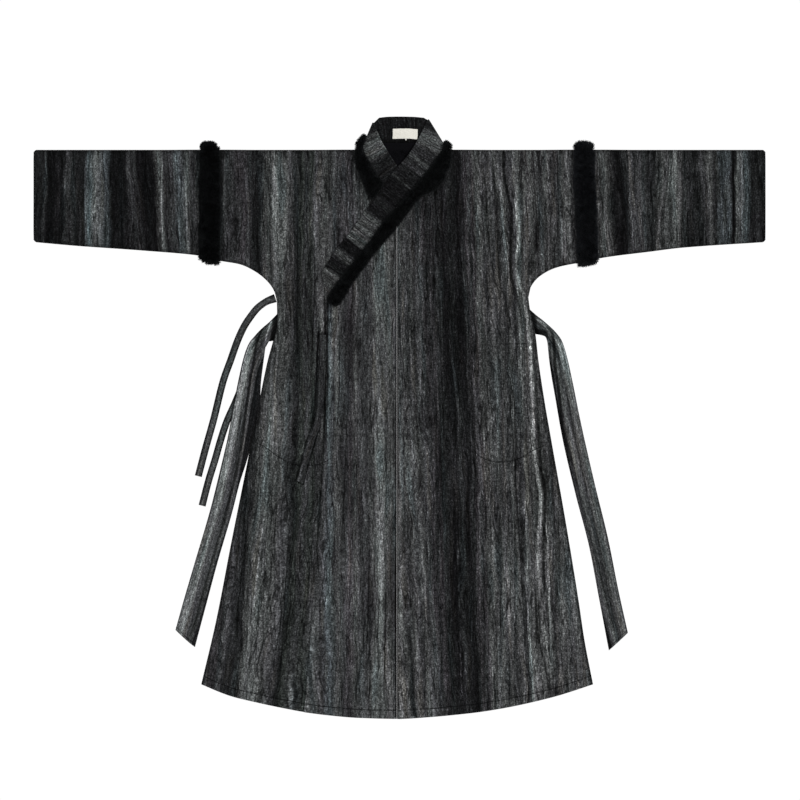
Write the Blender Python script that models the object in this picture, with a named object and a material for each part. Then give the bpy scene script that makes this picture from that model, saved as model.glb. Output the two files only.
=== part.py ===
"""A cross-collared robe of striped wool cloth, laid out flat with its front up.

The back lies on the surface. The wearer's right front lies on it, and the wearer's left front crosses over
that to the wearer's right. Sleeves are flattened tubes. A fur band goes round each sleeve, and a fur strip goes
round the collar. Two wide sashes and three narrow ties hang from the side seams and from the overlap.

Plans are given in millimetres as (across, drop): across is to the right from the middle of the span, and drop is
down from the shoulder line. Heights are in millimetres above the surface.
"""

import math

import bmesh
import bpy
import numpy as np
from mathutils import Vector

# ---------------------------------------------------------------- driving sizes, in millimetres
MM = 0.001
HALF_SPAN = 768.6  # middle to cuff
SHOULDER_Y = 561.8  # the shoulder line, up from the middle of the whole length
CLOTH = 1.6  # one layer of the wool cloth
BAND = 2.4  # the collar band, folded double
TIE = 2.0  # a narrow tie, sewn into a tube and pressed
SASH = 2.4  # a wide sash, folded double
SEAM = 0.3  # room between two sewn pieces
LAYER = 0.4  # room between two layers of one piece that lie on each other
OVER = 1.0  # room between the overlap and what it lies on
NOSE = 0.9  # how far a folded edge stands out past the layers
LOFT = 1.7  # how much higher the front lies, away from its folds and seams
CENTRE = -5.5  # the centre-front and centre-back seams
SEAM_RIGHT = -398.0  # the join of body and sleeve, wearer's right
SEAM_LEFT = 391.0  # and wearer's left
TIE_WIDTH = 15.0
FUR_UNDER = 3.0  # fur pressed flat below the robe
FUR_GAP = 0.8  # room between a fur strip and the cloth below it
FUR_PILE = 10.5  # fur of the collar strip, lying free
RING_TOP = 24.0  # the highest point of a sleeve's fur band
RING_HALF = 22.5  # half the width of a sleeve's fur band

# ---------------------------------------------------------------- outlines: (drop, across)
SIDE_RIGHT = [
    (317, -257),
    (340, -256.5),
    (368, -258),
    (401, -265),
    (441, -276),
    (525, -293.5),
    (651, -318),
    (819, -351.5),
    (987, -384),
    (1122, -415.5),
]
SIDE_LEFT = [
    (309, 270),
    (330, 272.5),
    (353, 277.5),
    (388, 285),
    (441, 291),
    (525, 303.5),
    (609, 318),
    (777, 347.5),
    (945, 375),
    (1029, 387.5),
    (1122, 405.5),
]
# undersides of the sleeves and the underarm curves: (across, drop)
UNDER_RIGHT = [
    (-768.6, 192),
    (-679, 200),
    (-538, 210),
    (-423, 220.5),
    (-398, 227),
    (-375, 232),
    (-335, 239),
    (-303, 254),
    (-276, 276),
    (-262, 297),
    (-257, 317),
]
UNDER_LEFT = [
    (270, 309),
    (275, 287),
    (297, 262),
    (329, 246),
    (365, 238),
    (391, 234),
    (423, 226),
    (528, 212),
    (593, 204),
    (768.6, 192),
]
HEM = [
    (-415.5, 1122),
    (-352, 1147),
    (-291, 1162),
    (-238, 1173),
    (-201, 1180),
    (-146, 1187),
    (-83, 1192),
    (-5, 1194),
    (64, 1190),
    (148, 1182),
    (232, 1169),
    (316, 1150),
    (405.5, 1122),
]
FREE_EDGE = [
    (309, -153),
    (357, -152.7),
    (410, -152.5),
    (546, -154),
    (630, -158),
    (746, -165),
    (850, -173),
    (945, -181),
    (1050, -189),
    (1180, -200),
]

# ---------------------------------------------------------------- the collar, one row for each section
# seam: where the band is sewn on; free: its open edge; on: which layer it follows
COLLAR_OUTER = [  # seam across, seam drop, free across, free drop; from the overlap's corner up to the shoulder
    (-153, 309, -163.5, 258),
    (-121, 266, -153, 240),
    (-100, 240, -131, 206),
    (-66, 197, -102, 171),
    (-34, 152, -68, 122),
    (-5.5, 119.5, -39, 84),
    (30, 80, -12, 45),
    (64, 37, 19, 10),
    (84, 10, 38, -21),
    (88.5, 0, 49, -43),
]
COLLAR_BACK = [  # across the back of the neck
    (66, -9, 51, -68),
    (28, -10.5, 27, -70),
    (-5.5, -10.5, -3, -70.5),
    (-28, -13, -25, -70),
    (-52, -11, -43, -68),
]
COLLAR_INNER = [  # down the other side, then on below the overlap
    (-75.5, 0, -50, -47),
    (-74, 8, -46, -38),
    (-66, 21, -41, -25),
    (-53, 44, -25, 2),
    (-35, 67, -8, 29),
    (-5.5, 105, 22, 68),
    (43, 170, 77, 136),
    (96, 239, 127, 202),
    (142, 309, 165, 258),
]
FOLD_LEFT = ((93.5, -7.2), (59.0, -63.4))  # seam end and free end of the band's fold
FOLD_RIGHT = ((-76, -5), (-54, -57))

# ---------------------------------------------------------------- the collar's fur strip, one row for each section
FUR_OUTER = [  # inner across, inner drop, outer across, outer drop; from its low end up to the shoulder
    (-149.5, 312, -144, 329),
    (-142, 299, -129, 334),
    (-132, 283.5, -116, 320),
    (-119.8, 266.8, -99, 292),
    (-99, 241, -77, 262),
    (-65, 198, -42, 216),
    (-33, 153, -8, 177),
    (-4.5, 120.5, 22, 138),
    (31, 81, 56, 99),
    (48, 60.5, 84, 86),
    (65.2, 37.6, 98, 69),
    (76, 23, 104, 41),
    (86.5, 10, 108, 20),
    (94, 1, 109, 4),
]
FUR_BACK = [
    (88, 3, 103, 19),
    (60, -3, 66, 31),
    (28, -4, 30, 35),
    (0, -4, 0, 36),
    (-28, -4, -30, 35),
    (-52, -3, -60, 31),
    (-74, 3, -96, 18),
]
FUR_INNER = [
    (-80, 1, -101, 3),
    (-75.5, 11, -101, 17),
    (-67.2, 22, -98, 35),
    (-54.4, 44.6, -88, 60),
    (-45, 57, -75, 88),
    (-34.5, 69.5, -64.5, 111),
]
FUR_FOLD_LEFT = ((94.5, -14), (108, -4))
FUR_FOLD_RIGHT = ((-79.5, -27), (-99, -4))

# ---------------------------------------------------------------- sashes and ties
SASH_RIGHT = [  # outer across, outer drop, inner across, inner drop, how much it is lifted by what it lies on
    (-257.7, 343, -266.2, 400.5, 2.3),
    (-264, 350.5, -270.5, 401.2, 2.3),
    (-273, 360.5, -275.5, 402.2, 2.3),
    (-283, 369, -279.5, 405, 2.3),
    (-293, 378, -281.5, 414, 2.3),
    (-303, 389, -283.5, 428, 2.3),
    (-316, 405, -286, 447, 2.3),
    (-326, 430, -290, 478, 2.3),
    (-337, 476, -294.4, 523, 2.3),
    (-347, 527, -303.7, 571, 2.3),
    (-360, 599, -317.4, 640, 2.3),
    (-377, 672, -336, 700, 0.6),
    (-398, 756, -352, 762, 0),
    (-430, 865, -383, 868, 0),
    (-452, 940, -405, 950, 0),
    (-471, 1008, -430, 1044, 0),
]
SASH_LEFT = [
    (274.7, 333.5, 286.3, 386, 0),
    (287, 346, 298, 388.5, 0),
    (301, 357, 306, 391.5, 0),
    (316, 370, 310, 400, 0),
    (329, 383, 312, 415, 0),
    (341, 400, 314, 436, 0),
    (351, 430, 319, 472, 0),
    (363, 483, 327, 518, 0),
    (380, 567, 342, 603, 0),
    (408.5, 693, 369, 719, 0),
    (439, 819, 399, 835, 0),
    (460, 924, 419, 940, 0),
    (480, 1014, 440, 1051, 0),
]
TIE_UPPER = [  # across, drop of its middle line; first the two corners of its root, cut along the seam
    (-259.4, 319, -265.4, 302),
    (-280, 318),
    (-298, 331),
    (-312, 348),
    (-326, 369),
    (-340, 399),
    (-355, 441),
    (-370, 483),
    (-391, 567),
    (-407, 624),
    (-423, 685),
]
TIE_LOWER = [
    (-270.5, 377),
    (-279, 394),
    (-289.5, 413),
    (-301, 432),
    (-316, 461),
    (-331, 496),
    (-346, 532),
    (-363, 570),
    (-376, 609),
    (-388, 651),
    (-401, 693),
    (-415, 747),
]
TIE_FRONT = [
    (-160.6, 388),
    (-161, 420),
    (-164, 480),
    (-166.5, 536),
    (-174, 575),
    (-186, 609),
    (-195, 640),
    (-204, 672),
    (-209, 696),
]

FUR_RINGS = {  # the middle across at the top and at the bottom, the drop of the top and of the bottom
    "right": (-398.0, -398.0, -19.0, 240.0),
    "left": (387.0, 395.0, -19.0, 244.0),
}

# ---------------------------------------------------------------- broad soft folds of the skirt
FLUTES = [  # across at the waist, across at the hem, half width at the hem, height at the hem
    (-165, -262, 62, 1.5),
    (-70, -108, 58, 1.2),
    (28, 52, 66, 1.6),
    (120, 176, 56, 1.1),
    (205, 292, 60, 1.7),
]


# ---------------------------------------------------------------- curves and heights
def smooth(rows, t):
    """Value at t on a smooth curve through (t, value) rows that never overshoots them."""
    ts, vs = np.array(rows, float).T
    steps = np.diff(vs) / np.diff(ts)
    slope = np.zeros(len(ts))
    slope[0], slope[-1] = steps[0], steps[-1]
    for k in range(1, len(ts) - 1):
        if steps[k - 1] * steps[k] > 0:
            slope[k] = 2 * steps[k - 1] * steps[k] / (steps[k - 1] + steps[k])
    k = int(np.clip(np.searchsorted(ts, t) - 1, 0, len(ts) - 2))
    h = ts[k + 1] - ts[k]
    u = min(max((t - ts[k]) / h, 0.0), 1.0)
    return float(
        vs[k] * (1 + 2 * u) * (1 - u) ** 2
        + h * slope[k] * u * (1 - u) ** 2
        + vs[k + 1] * u * u * (3 - 2 * u)
        + h * slope[k + 1] * u * u * (u - 1)
    )


def ease(v):
    v = min(max(v, 0.0), 1.0)
    return v * v * (3 - 2 * v)


def plateau(v, low, high, fall):
    """1 between low and high, easing to 0 over fall on each side."""
    return 1 - ease(max(low - v, v - high, 0.0) / fall)


def sampled(rows, n=60):
    ts = np.linspace(rows[0][0], rows[-1][0], n)
    return np.array([(t, smooth(rows, t)) for t in ts])


SHUT_EDGES = [  # where front and back are joined, as lines in plan
    np.array([(-HALF_SPAN, 0.0), (-75.5, 0.0)]),
    np.array([(88.5, 0.0), (HALF_SPAN, 0.0)]),
    sampled(UNDER_RIGHT),
    sampled(UNDER_LEFT),
    sampled(SIDE_RIGHT)[:, ::-1],
    sampled(SIDE_LEFT)[:, ::-1],
]


def from_shut_edge(x, d):
    best = 1e9
    for line in SHUT_EDGES:
        a, b = line[:-1], line[1:]
        ab = b - a
        t = ((x - a[:, 0]) * ab[:, 0] + (d - a[:, 1]) * ab[:, 1]) / (ab**2).sum(axis=1)
        near = a + ab * np.clip(t, 0, 1)[:, None]
        best = min(best, float(np.hypot(near[:, 0] - x, near[:, 1] - d).min()))
    return best


def ground(x, d):
    """How high the back lies: on the fur below the neck and the sleeves, and else on the surface."""
    neck = plateau(x, -112, 118, 85) * plateau(d, -999, 42, 115)
    right = plateau(x, SEAM_RIGHT - 26, SEAM_RIGHT + 26, 75)
    left = plateau(x, SEAM_LEFT - 32, SEAM_LEFT + 34, 75)
    return (FUR_UNDER + SEAM) * max(neck, right, left)


def flutes(x, d):
    v = ease((d - 420) / 700)
    lift = 0.0
    for waist, hem, half, height in FLUTES:
        mid = waist + (hem - waist) * (d - 420) / 774
        lift += (
            height
            * v
            * math.exp(-(((x - mid) / (half * (0.55 + 0.45 * v))) ** 2) * 1.6)
        )
    return lift


def loft(x, d):
    near = ease(from_shut_edge(x, d) / 25)
    return LAYER + (LOFT + flutes(x, d)) * near


def under_front(x, d):
    """Underside of the right front and of what is sewn to it."""
    return ground(x, d) + CLOTH + loft(x, d)


def covered(x, d):
    """1 where the overlap lies on the right front, easing to 0 past its edge."""
    past_band = -0.797 * (x + 25) + 0.604 * (d - 2)
    gore = -11 - smooth(FREE_EDGE, d) if d > 309 else 142 + 0.451 * (309 - d)
    return ease((min(past_band, gore - x) + 91) / 66)


def over_front(x, d):
    """Underside of the left front and of what is sewn to it."""
    lift = CLOTH + OVER + (BAND - CLOTH) * ease((x + 114) / 56)
    return under_front(x, d) + lift * covered(x, d)


def under_band(x, d):
    return max(under_front(x, d), ground(x, d) + BAND + 0.5)


def over_band(x, d):
    return max(over_front(x, d), ground(x, d) + BAND + 0.5)


def at(x, d, z):
    return Vector((x * MM, (SHOULDER_Y - d) * MM, z * MM))


# ---------------------------------------------------------------- making solids
def clear_scene():
    for obj in list(bpy.data.objects):
        bpy.data.objects.remove(obj, do_unlink=True)


def cloth_material(name, colour, roughness):
    material = bpy.data.materials.new(name)
    material.use_nodes = True
    shader = material.node_tree.nodes["Principled BSDF"]
    shader.inputs["Base Color"].default_value = (*colour, 1)
    shader.inputs["Roughness"].default_value = roughness
    shader.inputs["Metallic"].default_value = 0.0
    return material


def solid(name, points, faces, colour, roughness=0.9):
    bm = bmesh.new()
    verts = [bm.verts.new(p) for p in points]
    for face in faces:
        bm.faces.new([verts[k] for k in face])
    bmesh.ops.recalc_face_normals(bm, faces=bm.faces)
    mesh = bpy.data.meshes.new(name)
    bm.to_mesh(mesh)
    bm.free()
    obj = bpy.data.objects.new(name, mesh)
    bpy.context.scene.collection.objects.link(obj)
    mesh.materials.append(cloth_material(name, colour, roughness))
    mesh.shade_smooth()
    mesh.set_sharp_from_angle(angle=math.radians(40))
    return obj


def panel(name, plan, under, thick, colour):
    """A single layer: plan[i][j] are (across, drop) points, under gives its underside."""
    points, faces = [], []
    rows, cols = len(plan), len(plan[0])
    for top in (0, 1):
        for row in plan:
            for x, d in row:
                points.append(at(x, d, under(x, d) + thick * top))

    def v(i, j, top):
        return (top * rows + i) * cols + j

    for i in range(rows - 1):
        for j in range(cols - 1):
            for top in (0, 1):
                faces.append(
                    (v(i, j, top), v(i + 1, j, top), v(i + 1, j + 1, top), v(i, j + 1, top))
                )
    rim = (
        [(0, j) for j in range(cols - 1)]
        + [(i, cols - 1) for i in range(rows - 1)]
        + [(rows - 1, j) for j in range(cols - 1, 0, -1)]
        + [(i, 0) for i in range(rows - 1, 0, -1)]
    )
    for a, b in zip(rim, rim[1:] + rim[:1]):
        faces.append((v(*a, 0), v(*b, 0), v(*b, 1), v(*a, 1)))
    return solid(name, points, faces, colour)


def flat_tube(name, front, front_cells, back, back_cells, shut, under, colour):
    """Front and back of one piece, joined along shut edges by a rounded nose.

    front and back give (across, drop) for each grid key; shut maps each joined edge's keys to its outward side."""
    points, faces, index = [], [], {}

    def add(kind, key, x, d, z):
        index[kind, key] = len(points)
        points.append(at(x, d, z))

    for key, (x, d) in back.items():
        add("back_under", key, x, d, ground(x, d))
        add("back_over", key, x, d, ground(x, d) + CLOTH)
    for key, (x, d) in front.items():
        z = under(x, d)
        add("front_under", key, x, d, z)
        add("front_over", key, x, d, z + CLOTH)
    outward = {}
    for a, b in shut:
        (xa, da), (xb, db) = front[a], front[b]
        side = Vector((db - da, -(xb - xa))).normalized()
        for key in (a, b):
            outward[key] = outward.get(key, Vector((0, 0))) + side
    for key, side in outward.items():
        side = side.normalized()
        (x, d), z = front[key], under(*front[key])
        add(
            "nose",
            key,
            x + NOSE * side[0],
            d + NOSE * side[1],
            (ground(x, d) + z + CLOTH) / 2,
        )

    def ring(cell):
        i, c = cell
        return [(i, c), (i + 1, c), (i + 1, c + 1), (i, c + 1)]

    def rim(cells):
        seen = {}
        for cell in cells:
            keys = ring(cell)
            for a, b in zip(keys, keys[1:] + keys[:1]):
                seen.setdefault(frozenset((a, b)), []).append((a, b))
        return {edge: uses[0] for edge, uses in seen.items() if len(uses) == 1}

    for cells, kinds in (
        (front_cells, ("front_under", "front_over")),
        (back_cells, ("back_under", "back_over")),
    ):
        for cell in cells:
            for kind in kinds:
                faces.append([index[kind, key] for key in ring(cell)])
    joined = {frozenset(edge) for edge in shut}
    for edge, (a, b) in rim(front_cells).items():
        if edge in joined:
            for low, high in (
                ("nose", "front_over"),
                ("back_under", "nose"),
                ("back_over", "front_under"),
            ):
                faces.append([index[low, a], index[low, b], index[high, b], index[high, a]])
        else:
            faces.append(
                [
                    index["front_under", a],
                    index["front_under", b],
                    index["front_over", b],
                    index["front_over", a],
                ]
            )
    for edge, (a, b) in rim(back_cells).items():
        if edge not in joined:
            faces.append(
                [
                    index["back_under", a],
                    index["back_under", b],
                    index["back_over", b],
                    index["back_over", a],
                ]
            )
    ends = [key for key in outward if sum(key in edge for edge in shut) == 1]
    for key in ends:
        n, fo, fu, bo, bu = (
            index[kind, key]
            for kind in ("nose", "front_over", "front_under", "back_over", "back_under")
        )
        faces += [[fo, n, fu], [fu, n, bo], [bo, n, bu]]
    return solid(name, points, faces, colour)


def strip(name, sections, profile, colour, roughness=0.9):
    """A band through sections of (inner point, outer point, normal, thickness); profile rows are (share of the width, share of the thickness)."""
    points, faces = [], []
    n = len(profile)
    for inner, outer, normal, thick in sections:
        for side in (-0.5, 0.5):
            for w, share in profile:
                points.append(inner.lerp(outer, w) + normal * (side * thick * share * MM))

    def v(k, m, top):
        return (2 * k + top) * n + m

    for k in range(len(sections) - 1):
        for m in range(n - 1):
            for top in (0, 1):
                faces.append(
                    (v(k, m, top), v(k, m + 1, top), v(k + 1, m + 1, top), v(k + 1, m, top))
                )
        for m in (0, n - 1):
            faces.append((v(k, m, 0), v(k + 1, m, 0), v(k + 1, m, 1), v(k, m, 1)))
    for k in (0, len(sections) - 1):
        for m in range(n - 1):
            faces.append((v(k, m, 0), v(k, m + 1, 0), v(k, m + 1, 1), v(k, m, 1)))
    return solid(name, points, faces, colour, roughness)


UP = Vector((0, 0, 1))


def lying(row, under, thick):
    """A section of a band that lies flat on what under gives."""
    xi, di, xo, do = row[:4]
    return (
        at(xi, di, under(xi, di) + thick / 2),
        at(xo, do, under(xo, do) + thick / 2),
        UP,
        thick,
    )


def halved(rows, longest):
    """The rows, with one more in the middle of each stretch that is longer than this."""
    found = [rows[0]]
    for a, b in zip(rows, rows[1:]):
        if max(math.hypot(b[0] - a[0], b[1] - a[1]), math.hypot(b[2] - a[2], b[3] - a[3])) > longest:
            found.append(tuple((p + q) / 2 for p, q in zip(a, b)))
        found.append(b)
    return found


def turned(fold, high, low, bulge, thick_high, thick_low, steps):
    """Sections of a band that turns over at a fold from height high to height low, going from its inner end to its outer end."""
    (xi, di), (xo, do) = fold
    side = Vector((-(do - di), xo - xi)).normalized()
    middle = Vector((0, 40))  # a point well inside the neck
    if (Vector((xi, di)) - middle).dot(side) < 0:
        side = -side
    found = []
    for k in range(steps + 1):
        turn = math.pi * k / steps
        out, up = math.sin(turn), math.cos(turn)
        z = (high + low) / 2 + (high - low) / 2 * up
        thick = thick_high + (thick_low - thick_high) * k / steps
        normal = Vector((side[0] * out, -side[1] * out, up)).normalized()
        found.append(
            (
                at(xi + side[0] * bulge * out, di + side[1] * bulge * out, z),
                at(xo + side[0] * bulge * out, do + side[1] * bulge * out, z),
                normal,
                thick,
            )
        )
    return found


# ---------------------------------------------------------------- body halves
UPPER_ROWS = {
    "right": [0, 8, 21, 44, 67, 105, 132, 165, 212, 265, 317],
    "left": [0, 10, 37, 80, 119.5, 152, 204, 256, 309],
}
SKIRT_SHARES = [0.029, 0.063, 0.104, 0.157, 0.26, 0.36, 0.47, 0.59, 0.72, 0.86, 1.0]
SLEEVE_COLUMNS = 6
FRONT_COLUMNS = 6


def neckline(side):
    """(drop, across) of a front's neck edge, from the shoulder to the centre seam."""
    rows = COLLAR_INNER if side == "right" else COLLAR_OUTER[::-1]
    away = -SEAM if side == "right" else SEAM
    found = []
    for row in rows:
        if row[1] >= 0 and (row[0] <= CENTRE if side == "right" else row[0] >= CENTRE):
            found.append((row[1], row[0] + away * 1.6))
    return found


def body_half(side, colour):
    sign = -1 if side == "right" else 1
    edge = SIDE_RIGHT if side == "right" else SIDE_LEFT
    under_arm = UNDER_RIGHT if side == "right" else UNDER_LEFT
    seam = SEAM_RIGHT if side == "right" else SEAM_LEFT
    centre = CENTRE + sign * SEAM / 2
    rows = UPPER_ROWS[side]
    arm_drop, arm_x = rows[-1], edge[0][1]
    neck = neckline(side)
    neck_x = neck[0][1]
    last_row = len(rows) - 1 + len(SKIRT_SHARES)
    ns, nt = SLEEVE_COLUMNS, FRONT_COLUMNS
    backs = sorted(
        [row[0] for row in COLLAR_BACK if (row[0] < CENTRE if side == "right" else row[0] > CENTRE)],
        key=lambda v: -abs(v),
    )
    seam_drop = {row[0]: row[1] for row in COLLAR_BACK}
    back_top = [(x, seam_drop[x] + 2 * SEAM) for x in backs]
    back_top.append((centre, seam_drop[CENTRE] + 2 * SEAM))
    hem_end = (edge[-1][1], edge[-1][0])
    front, back, front_cells, back_cells = {}, {}, [], []
    sleeve_share = [0, 0.17, 0.36, 0.56, 0.75, 0.9, 1]
    for i, drop in enumerate(rows):
        for c in range(ns + 1):
            x = seam + sign * -1 * 0.15 + (arm_x - seam) * sleeve_share[c]
            if c == ns:
                x = arm_x
            depth = smooth(sorted(under_arm), x) if c < ns else arm_drop
            front[i, c] = back[i, c] = (x, drop / arm_drop * depth)
    top_x = [arm_x + (neck_x - arm_x) * j / nt for j in range(nt + 1)]
    for i in range(last_row + 1):
        if i < len(rows):
            low, share = rows[i], None
            inner = (
                smooth(neck, low) if low <= neck[-1][0] else centre
            )
            left = (arm_x, low)
        else:
            share = SKIRT_SHARES[i - len(rows)]
            low = arm_drop + (hem_end[1] - arm_drop) * share
            left = (smooth(edge, low), low)
            inner = centre
        for j in range(1, nt + 1) if share is None else range(nt + 1):
            part = j / nt
            hem_x = hem_end[0] + (centre - hem_end[0]) * part
            depth = low
            if share is not None:
                depth = arm_drop + (smooth(HEM, hem_x) - arm_drop) * share
            front[i, ns + j] = (left[0] + (inner - left[0]) * part, depth)
        for j in range(nt + len(back_top) + 1):
            if j == 0 and share is None:
                continue
            if i == 0:
                back[i, ns + j] = front[0, ns + j] if j <= nt else back_top[j - nt - 1]
                continue
            reach = top_x[j] if j <= nt else back_top[j - nt - 1][0]
            part = (reach - arm_x) / (centre - arm_x)
            hem_x = hem_end[0] + (centre - hem_end[0]) * part
            depth = low
            if share is not None:
                depth = arm_drop + (smooth(HEM, hem_x) - arm_drop) * share
            back[i, ns + j] = (left[0] + (centre - left[0]) * part, depth)
    for i in range(last_row):
        first = 0 if i < len(rows) - 1 else ns
        front_cells += [(i, c) for c in range(first, ns + nt)]
        back_cells += [(i, c) for c in range(first, ns + nt + len(back_top))]
    arm = len(rows) - 1
    shut = (
        [((0, c + 1), (0, c)) for c in range(ns + nt)]
        + [((arm, c), (arm, c + 1)) for c in range(ns)]
        + [((i, ns), (i + 1, ns)) for i in range(arm, last_row)]
    )
    if side == "right":
        shut = [(b, a) for a, b in shut]
    under = under_front if side == "right" else over_front
    return flat_tube("body_" + side, front, front_cells, back, back_cells, shut, under, colour)


def gore(side, colour):
    """The strip between the centre-front seam and a front's free edge."""
    if side == "outer":
        corners = [(row[0], row[1]) for row in COLLAR_OUTER if row[0] <= CENTRE][::-1]
        sign, under = -1, over_front
    else:
        corners = [(row[0], row[1]) for row in COLLAR_INNER if row[0] >= CENTRE]
        sign, under = 1, under_front
    inner = CENTRE + sign * SEAM / 2
    # just outside the band's seam
    tops = [(inner if k == 0 else x, d + 0.7) for k, (x, d) in enumerate(corners)]

    def free(d):
        x = smooth(FREE_EDGE, max(d, 309))
        return x if side == "outer" else -11 - x

    plan = []
    for share in [0, 0.06, 0.13, 0.2, 0.28, 0.36, 0.45, 0.54, 0.64, 0.74, 0.87, 1]:
        row = []
        for x, d in tops:
            part = (x - inner) / (tops[-1][0] - inner)
            end = free(9999)
            foot = smooth(HEM, inner + (end - inner) * part)
            depth = d + (foot - d) * share
            reach = free(depth) if depth > 309 else tops[-1][0]
            row.append((inner + (reach - inner) * part, depth))
        plan.append(row)
    return panel("overlap_gore" if side == "outer" else "underlap_gore", plan, under, CLOTH, colour)


# ---------------------------------------------------------------- sleeves
def sleeve(side, colour):
    sign = -1 if side == "right" else 1
    seam = (SEAM_RIGHT if side == "right" else SEAM_LEFT) + sign * 0.15
    under_arm = sorted(UNDER_RIGHT if side == "right" else UNDER_LEFT)
    columns, rows = [0, 0.07, 0.22, 0.42, 0.66, 0.88, 1], 6
    front = {}
    for i in range(rows + 1):
        for c, part in enumerate(columns):
            x = seam + (sign * HALF_SPAN - seam) * part
            front[i, c] = (x, smooth(under_arm, x) * i / rows)
    cells = [(i, c) for i in range(rows) for c in range(len(columns) - 1)]
    shut = [((0, c), (0, c + 1)) for c in range(len(columns) - 1)] + [
        ((rows, c + 1), (rows, c)) for c in range(len(columns) - 1)
    ]
    if side == "right":
        shut = [(b, a) for a, b in shut]
    return flat_tube("sleeve_" + side, front, cells, dict(front), cells, shut, under_front, colour)


def fur_ring(side, colour):
    """The fur band round a sleeve: flat below, a deep pile above."""
    top_x, low_x, top, low = FUR_RINGS[side]
    under_arm = sorted(UNDER_RIGHT if side == "right" else UNDER_LEFT)
    cloth_top = FUR_UNDER + SEAM + 2 * CLOTH + LAYER + LOFT + 0.6
    # one row for each station round the band: share of the way down inside, inner height, outer height
    above = [
        (part, cloth_top, 18 + (RING_TOP - 18) * math.sin(math.pi * part) ** 0.5)
        for part in (0, 0.12, 0.3, 0.5, 0.7, 0.88, 1)
    ]
    below = [(part, FUR_UNDER, 0.0) for part in (1, 0.75, 0.5, 0.25, 0)]
    stations = above + [(1.006, 6.0, 9.0)] + below + [(-0.006, 6.0, 9.0)]
    profile = [(-1, 0.5), (-0.62, 0.93), (0, 1), (0.62, 0.93), (1, 0.5)]
    points, faces = [], []
    for k, (part, inner_z, outer_z) in enumerate(stations):
        share = min(max(part, 0.0), 1.0)
        x = top_x + (low_x - top_x) * share
        inset = {7: 0.0, 13: 0.0}.get(k, 5.0 if k < 7 else 7.0)
        inner = []
        for w, _ in profile:
            opening = smooth(under_arm, x + w * RING_HALF) + 2.6
            inner.append(-2.2 + (opening + 2.2) * part)
        for (w, p), start in zip(profile, inner):
            end = top + inset + (low + 2.5 * w * (1 if side == "right" else -1) - top - 2 * inset) * share
            points.append(
                at(
                    x + w * RING_HALF,
                    start + (end - start) * p,
                    inner_z + (outer_z - inner_z) * p,
                )
            )
        for w, start in ((-1, inner[0]), (1, inner[-1])):
            points.append(at(x + w * RING_HALF, start, inner_z))
    n, per = len(stations), len(profile) + 2
    for k in range(n):
        a, b = k * per, (k + 1) % n * per
        for m in range(4):
            faces.append((a + m, a + m + 1, b + m + 1, b + m))
        faces.append((a + 5, a + 6, b + 6, b + 5))
        faces.append((a, a + 5, b + 5, b))
        faces.append((a + 4, a + 6, b + 6, b + 4))
    return solid("sleeve_fur_" + side, points, faces, colour, 1.0)


# ---------------------------------------------------------------- collar, its fur, its label and the lining in the neck
def collar(colour):
    def front(rows, under):
        return [lying(row, under, BAND) for row in halved(rows, 30)]

    behind = [
        (a, b, -normal, thick) for a, b, normal, thick in front(COLLAR_BACK, ground)
    ]
    high_left = over_band(*FOLD_LEFT[0]) + BAND / 2
    high_right = under_band(*FOLD_RIGHT[0]) + BAND / 2
    low = FUR_UNDER + SEAM + BAND / 2
    sections = (
        front(COLLAR_OUTER, over_band)
        + turned(FOLD_LEFT, high_left, low, 1.9, BAND, BAND, 4)
        + behind
        + turned(FOLD_RIGHT, high_right, low, 1.9, BAND, BAND, 4)[::-1]
        + front(COLLAR_INNER, under_band)
    )
    profile = [(0, 1), (0.33, 1), (0.67, 1), (1, 1)]
    return strip("collar", sections, profile, colour)


def collar_fur(colour):
    def pile(rows, under):
        found = []
        for xi, di, xo, do in rows:
            zi, zo = (under(x, d) + CLOTH + FUR_GAP for x, d in ((xi, di), (xo, do)))
            found.append((at(xi, di, zi + FUR_PILE / 2), at(xo, do, zo + FUR_PILE / 2), UP, FUR_PILE))
        return found

    thick, low = 6.0, FUR_UNDER / 2
    top_left = over_front(*FUR_FOLD_LEFT[1]) + CLOTH + FUR_GAP + thick / 2
    top_right = under_front(*FUR_FOLD_RIGHT[1]) + CLOTH + FUR_GAP + thick / 2
    back = [
        (at(xi, di, low), at(xo, do, low), -UP, FUR_UNDER) for xi, di, xo, do in FUR_BACK
    ]
    sections = (
        pile(FUR_OUTER, over_front)
        + turned(FUR_FOLD_LEFT, top_left, low, 3.6, thick, FUR_UNDER, 4)
        + back
        + turned(FUR_FOLD_RIGHT, top_right, low, 3.6, thick, FUR_UNDER, 4)[::-1]
        + pile(FUR_INNER, under_front)
    )
    profile = [(0, 0.55), (0.2, 0.93), (0.5, 1), (0.8, 0.9), (1, 0.45)]
    return strip("collar_fur", sections, profile, colour, 1.0)


def neck_lining(colour):
    plan = []
    for row in range(6):
        part = row / 5
        d = -3 + 66 * part
        half = 44 * math.sqrt(max(1 - (part * 0.93) ** 2, 0.02))
        plan.append([(0 + half * w, d - 4 * (1 - w * w) * 0) for w in (-1, -0.5, 0, 0.5, 1)])
    return panel("neck_lining", plan, lambda x, d: ground(x, d) + CLOTH + SEAM, 1.0, colour)


def label(colour):
    tilt = math.radians(1.5)
    plan = []
    for v in (-10.5, 10.5):
        plan.append(
            [
                (
                    12 + u * math.cos(tilt) - v * math.sin(tilt),
                    -34 + u * math.sin(tilt) + v * math.cos(tilt),
                )
                for u in (-26, 0, 26)
            ]
        )
    return panel("label", plan, lambda x, d: ground(x, d) + BAND + SEAM, 0.5, colour)


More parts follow.
